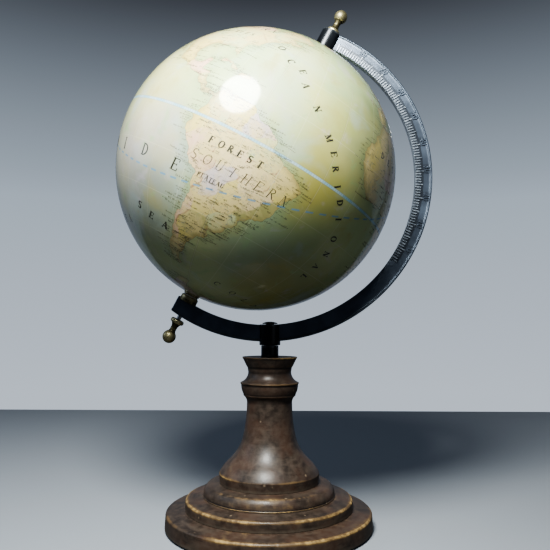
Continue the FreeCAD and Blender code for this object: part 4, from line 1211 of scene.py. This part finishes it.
words = [
    ("FOREST", [(-6, -69.6), (-6, -51.6)], 4.2, 0.12, 1.5),
    ("SOUTHERN", [(-12.4, -73.2), (-12.4, -38.4)], 6.2, 0.2, 0.5),
    ("PLATEAU", [(-18, -69), (-18, -59.7)], 2.6, 0.1, 1.3),
    ("OCEAN", [(39, -68), (34, -60.5), (32, -54), (27, -50.5), (21, -43)], 4.6, 0.1, 1.45),
    ("MERIDIONAL", [(14, -35), (10, -30.6), (6, -27.7), (1, -23.5), (-2.6, -19.7), (-8, -16), (-14, -12.5),
                    (-20, -10), (-26, -9), (-32, -9)], 4.5, 0.1, 1.45),
    ("WIDE", [(-17.5, -127), (-18, -110.8), (-18, -95.4), (-18.5, -78.9)], 7.5, 0.12, 1.0),
    ("SEA", [(-38, -95.5), (-40, -87), (-41, -78.4)], 5.0, 0.1, 1.3),
    ("NORTHERN", [(50, -122), (50, -82)], 6.0, 0.2, 0.7),
    ("PRAIRIES", [(41, -110), (41, -86)], 3.2, 0.1, 1.1),
    ("POLAR ICE", [(78, -130), (80, -60), (78, 10)], 4.0, 0.0, 0.9),
    ("DESERT", [(23, -6), (23, 28)], 4.6, 0.12, 1.1),
    ("MIDLANDS", [(0, 14), (-4, 34)], 3.0, 0.1, 1.2),
    ("EASTERN", [(58, 40), (62, 122)], 6.4, 0.2, 0.7),
    ("STEPPE", [(47, 52), (47, 84)], 3.2, 0.1, 1.1),
    ("HILLS", [(33, 78), (33, 104)], 3.6, 0.1, 1.1),
    ("PLAIN", [(22, 74), (16, 82)], 2.6, 0.1, 1.2),
    ("OUTER", [(-24, 120), (-26, 146)], 5.0, 0.2, 0.8),
    ("OCEAN", [(-10, 62), (-22, 96)], 6.0, 0.1, 0.85),
    ("WIDE OCEAN", [(22, 150), (16, 178), (8, 208), (2, 232)], 6.6, 0.1, 0.85),
    ("SOUTH SEA", [(-44, 176), (-50, 215), (-46, 250)], 5.4, 0.1, 0.85),
    ("COLD OCEAN", [(-56, -40), (-60, 20), (-58, 80)], 4.6, 0.1, 0.85),
    ("COLD LAND", [(-82, -60), (-80, 60)], 3.4, 0.1, 0.9),
]
lettering = []
for text, way, size, slant, boldness in words:
    lettering += word_along(text, way, size, slant, boldness)


def tiny_name(lat, lon, length, size, lean_to, grow):
    """A name too small to read: a row of short uprights and ticks, starting at or ending at its place."""
    strokes, x = [], 0.0
    while x < length:
        tall = 1.0 if chance.random() < 0.3 else 0.62
        kind = chance.random()
        if kind < 0.6:
            strokes.append([[(x, 0), (x + chance.normal(0, 0.05), tall)], 0.20])
        if kind > 0.35:
            level = chance.choice((0.08, 0.32, 0.56))
            strokes.append([[(x, level), (x + 0.42, level)], 0.16])
        x += 0.52 if chance.random() < 0.86 else 1.0
    return inked(lat, lon, lean_to, strokes, size, 0.15, 1.0, 0.0 if grow > 0 else length)


names = []
for name, coast in coasts.items():
    crowd = 1.7 if name == "south_america" else 3.0
    walked, middle_lon = 0.0, coast[:, 1].mean()
    for (lat, lon), (next_lat, next_lon) in zip(coast[:-1], coast[1:]):
        across = (next_lon - lon) * math.cos(math.radians(lat))
        walked += math.hypot(next_lat - lat, across) * 1.745
        if walked < crowd or abs(lat) > 74:
            continue
        walked = 0.0
        seaward = 1 if lon > middle_lon else -1
        if chance.random() < 0.25:
            continue
        size = chance.uniform(0.7, 1.25)
        length = chance.choice((3.0, 4.5, 6.0, 8.0, 11.0))
        away = seaward * 0.6 / math.cos(math.radians(lat))
        names += tiny_name(lat, lon + away, length, size, chance.normal(0, 3), seaward)
for lat, lon, _ in regions:
    for _ in range(18 if -60 < lat < 30 and lon < -30 else 10):
        spread = 9 if abs(lat) < 60 else 14
        place = lat + chance.normal(0, spread * 0.5), lon + chance.normal(0, spread * 0.6)
        row = int(np.clip(round((place[0] + 90) / 180 * rows) - 1, 0, len(lat_lines) - 1))
        column = int(round((place[1] + 180) / 360 * columns)) % columns
        if land[row, column] % 2 and abs(place[0]) < 76:
            names += tiny_name(*place, chance.uniform(2.5, 6.5), chance.uniform(0.7, 1.0),
                               chance.normal(0, 4), 1)


def ink_material(name, tone, faded):
    """Map ink under the varnish: uneven where the paper took it badly."""
    material, shader, surface = new_material(name)
    place = shader.node("ShaderNodeTexCoord").outputs["Object"]
    take = shader.noise(place, 900, 3.0, 0.6)
    shader.feed(surface.inputs["Base Color"], shader.mix(shader.ramp(take, 0.40, 0.72), tone, faded))
    shader.feed(surface.inputs["Roughness"], shader.plus(0.4, shader.times(take, 0.2)))
    surface.inputs["Coat Weight"].default_value = 1.0
    surface.inputs["Coat Roughness"].default_value = 0.07
    return material


map_lettering = gathered("map_lettering", lettering)
map_lettering.data.materials.append(ink_material("dark_ink", colour(44, 44, 34), colour(76, 74, 58)))
map_names = gathered("map_small_names", names)
map_names.data.materials.append(ink_material("fine_ink", colour(76, 76, 58), colour(122, 118, 90)))
for piece in (map_lettering, map_names):
    piece.data.transform(polar)
    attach(piece, "globe")
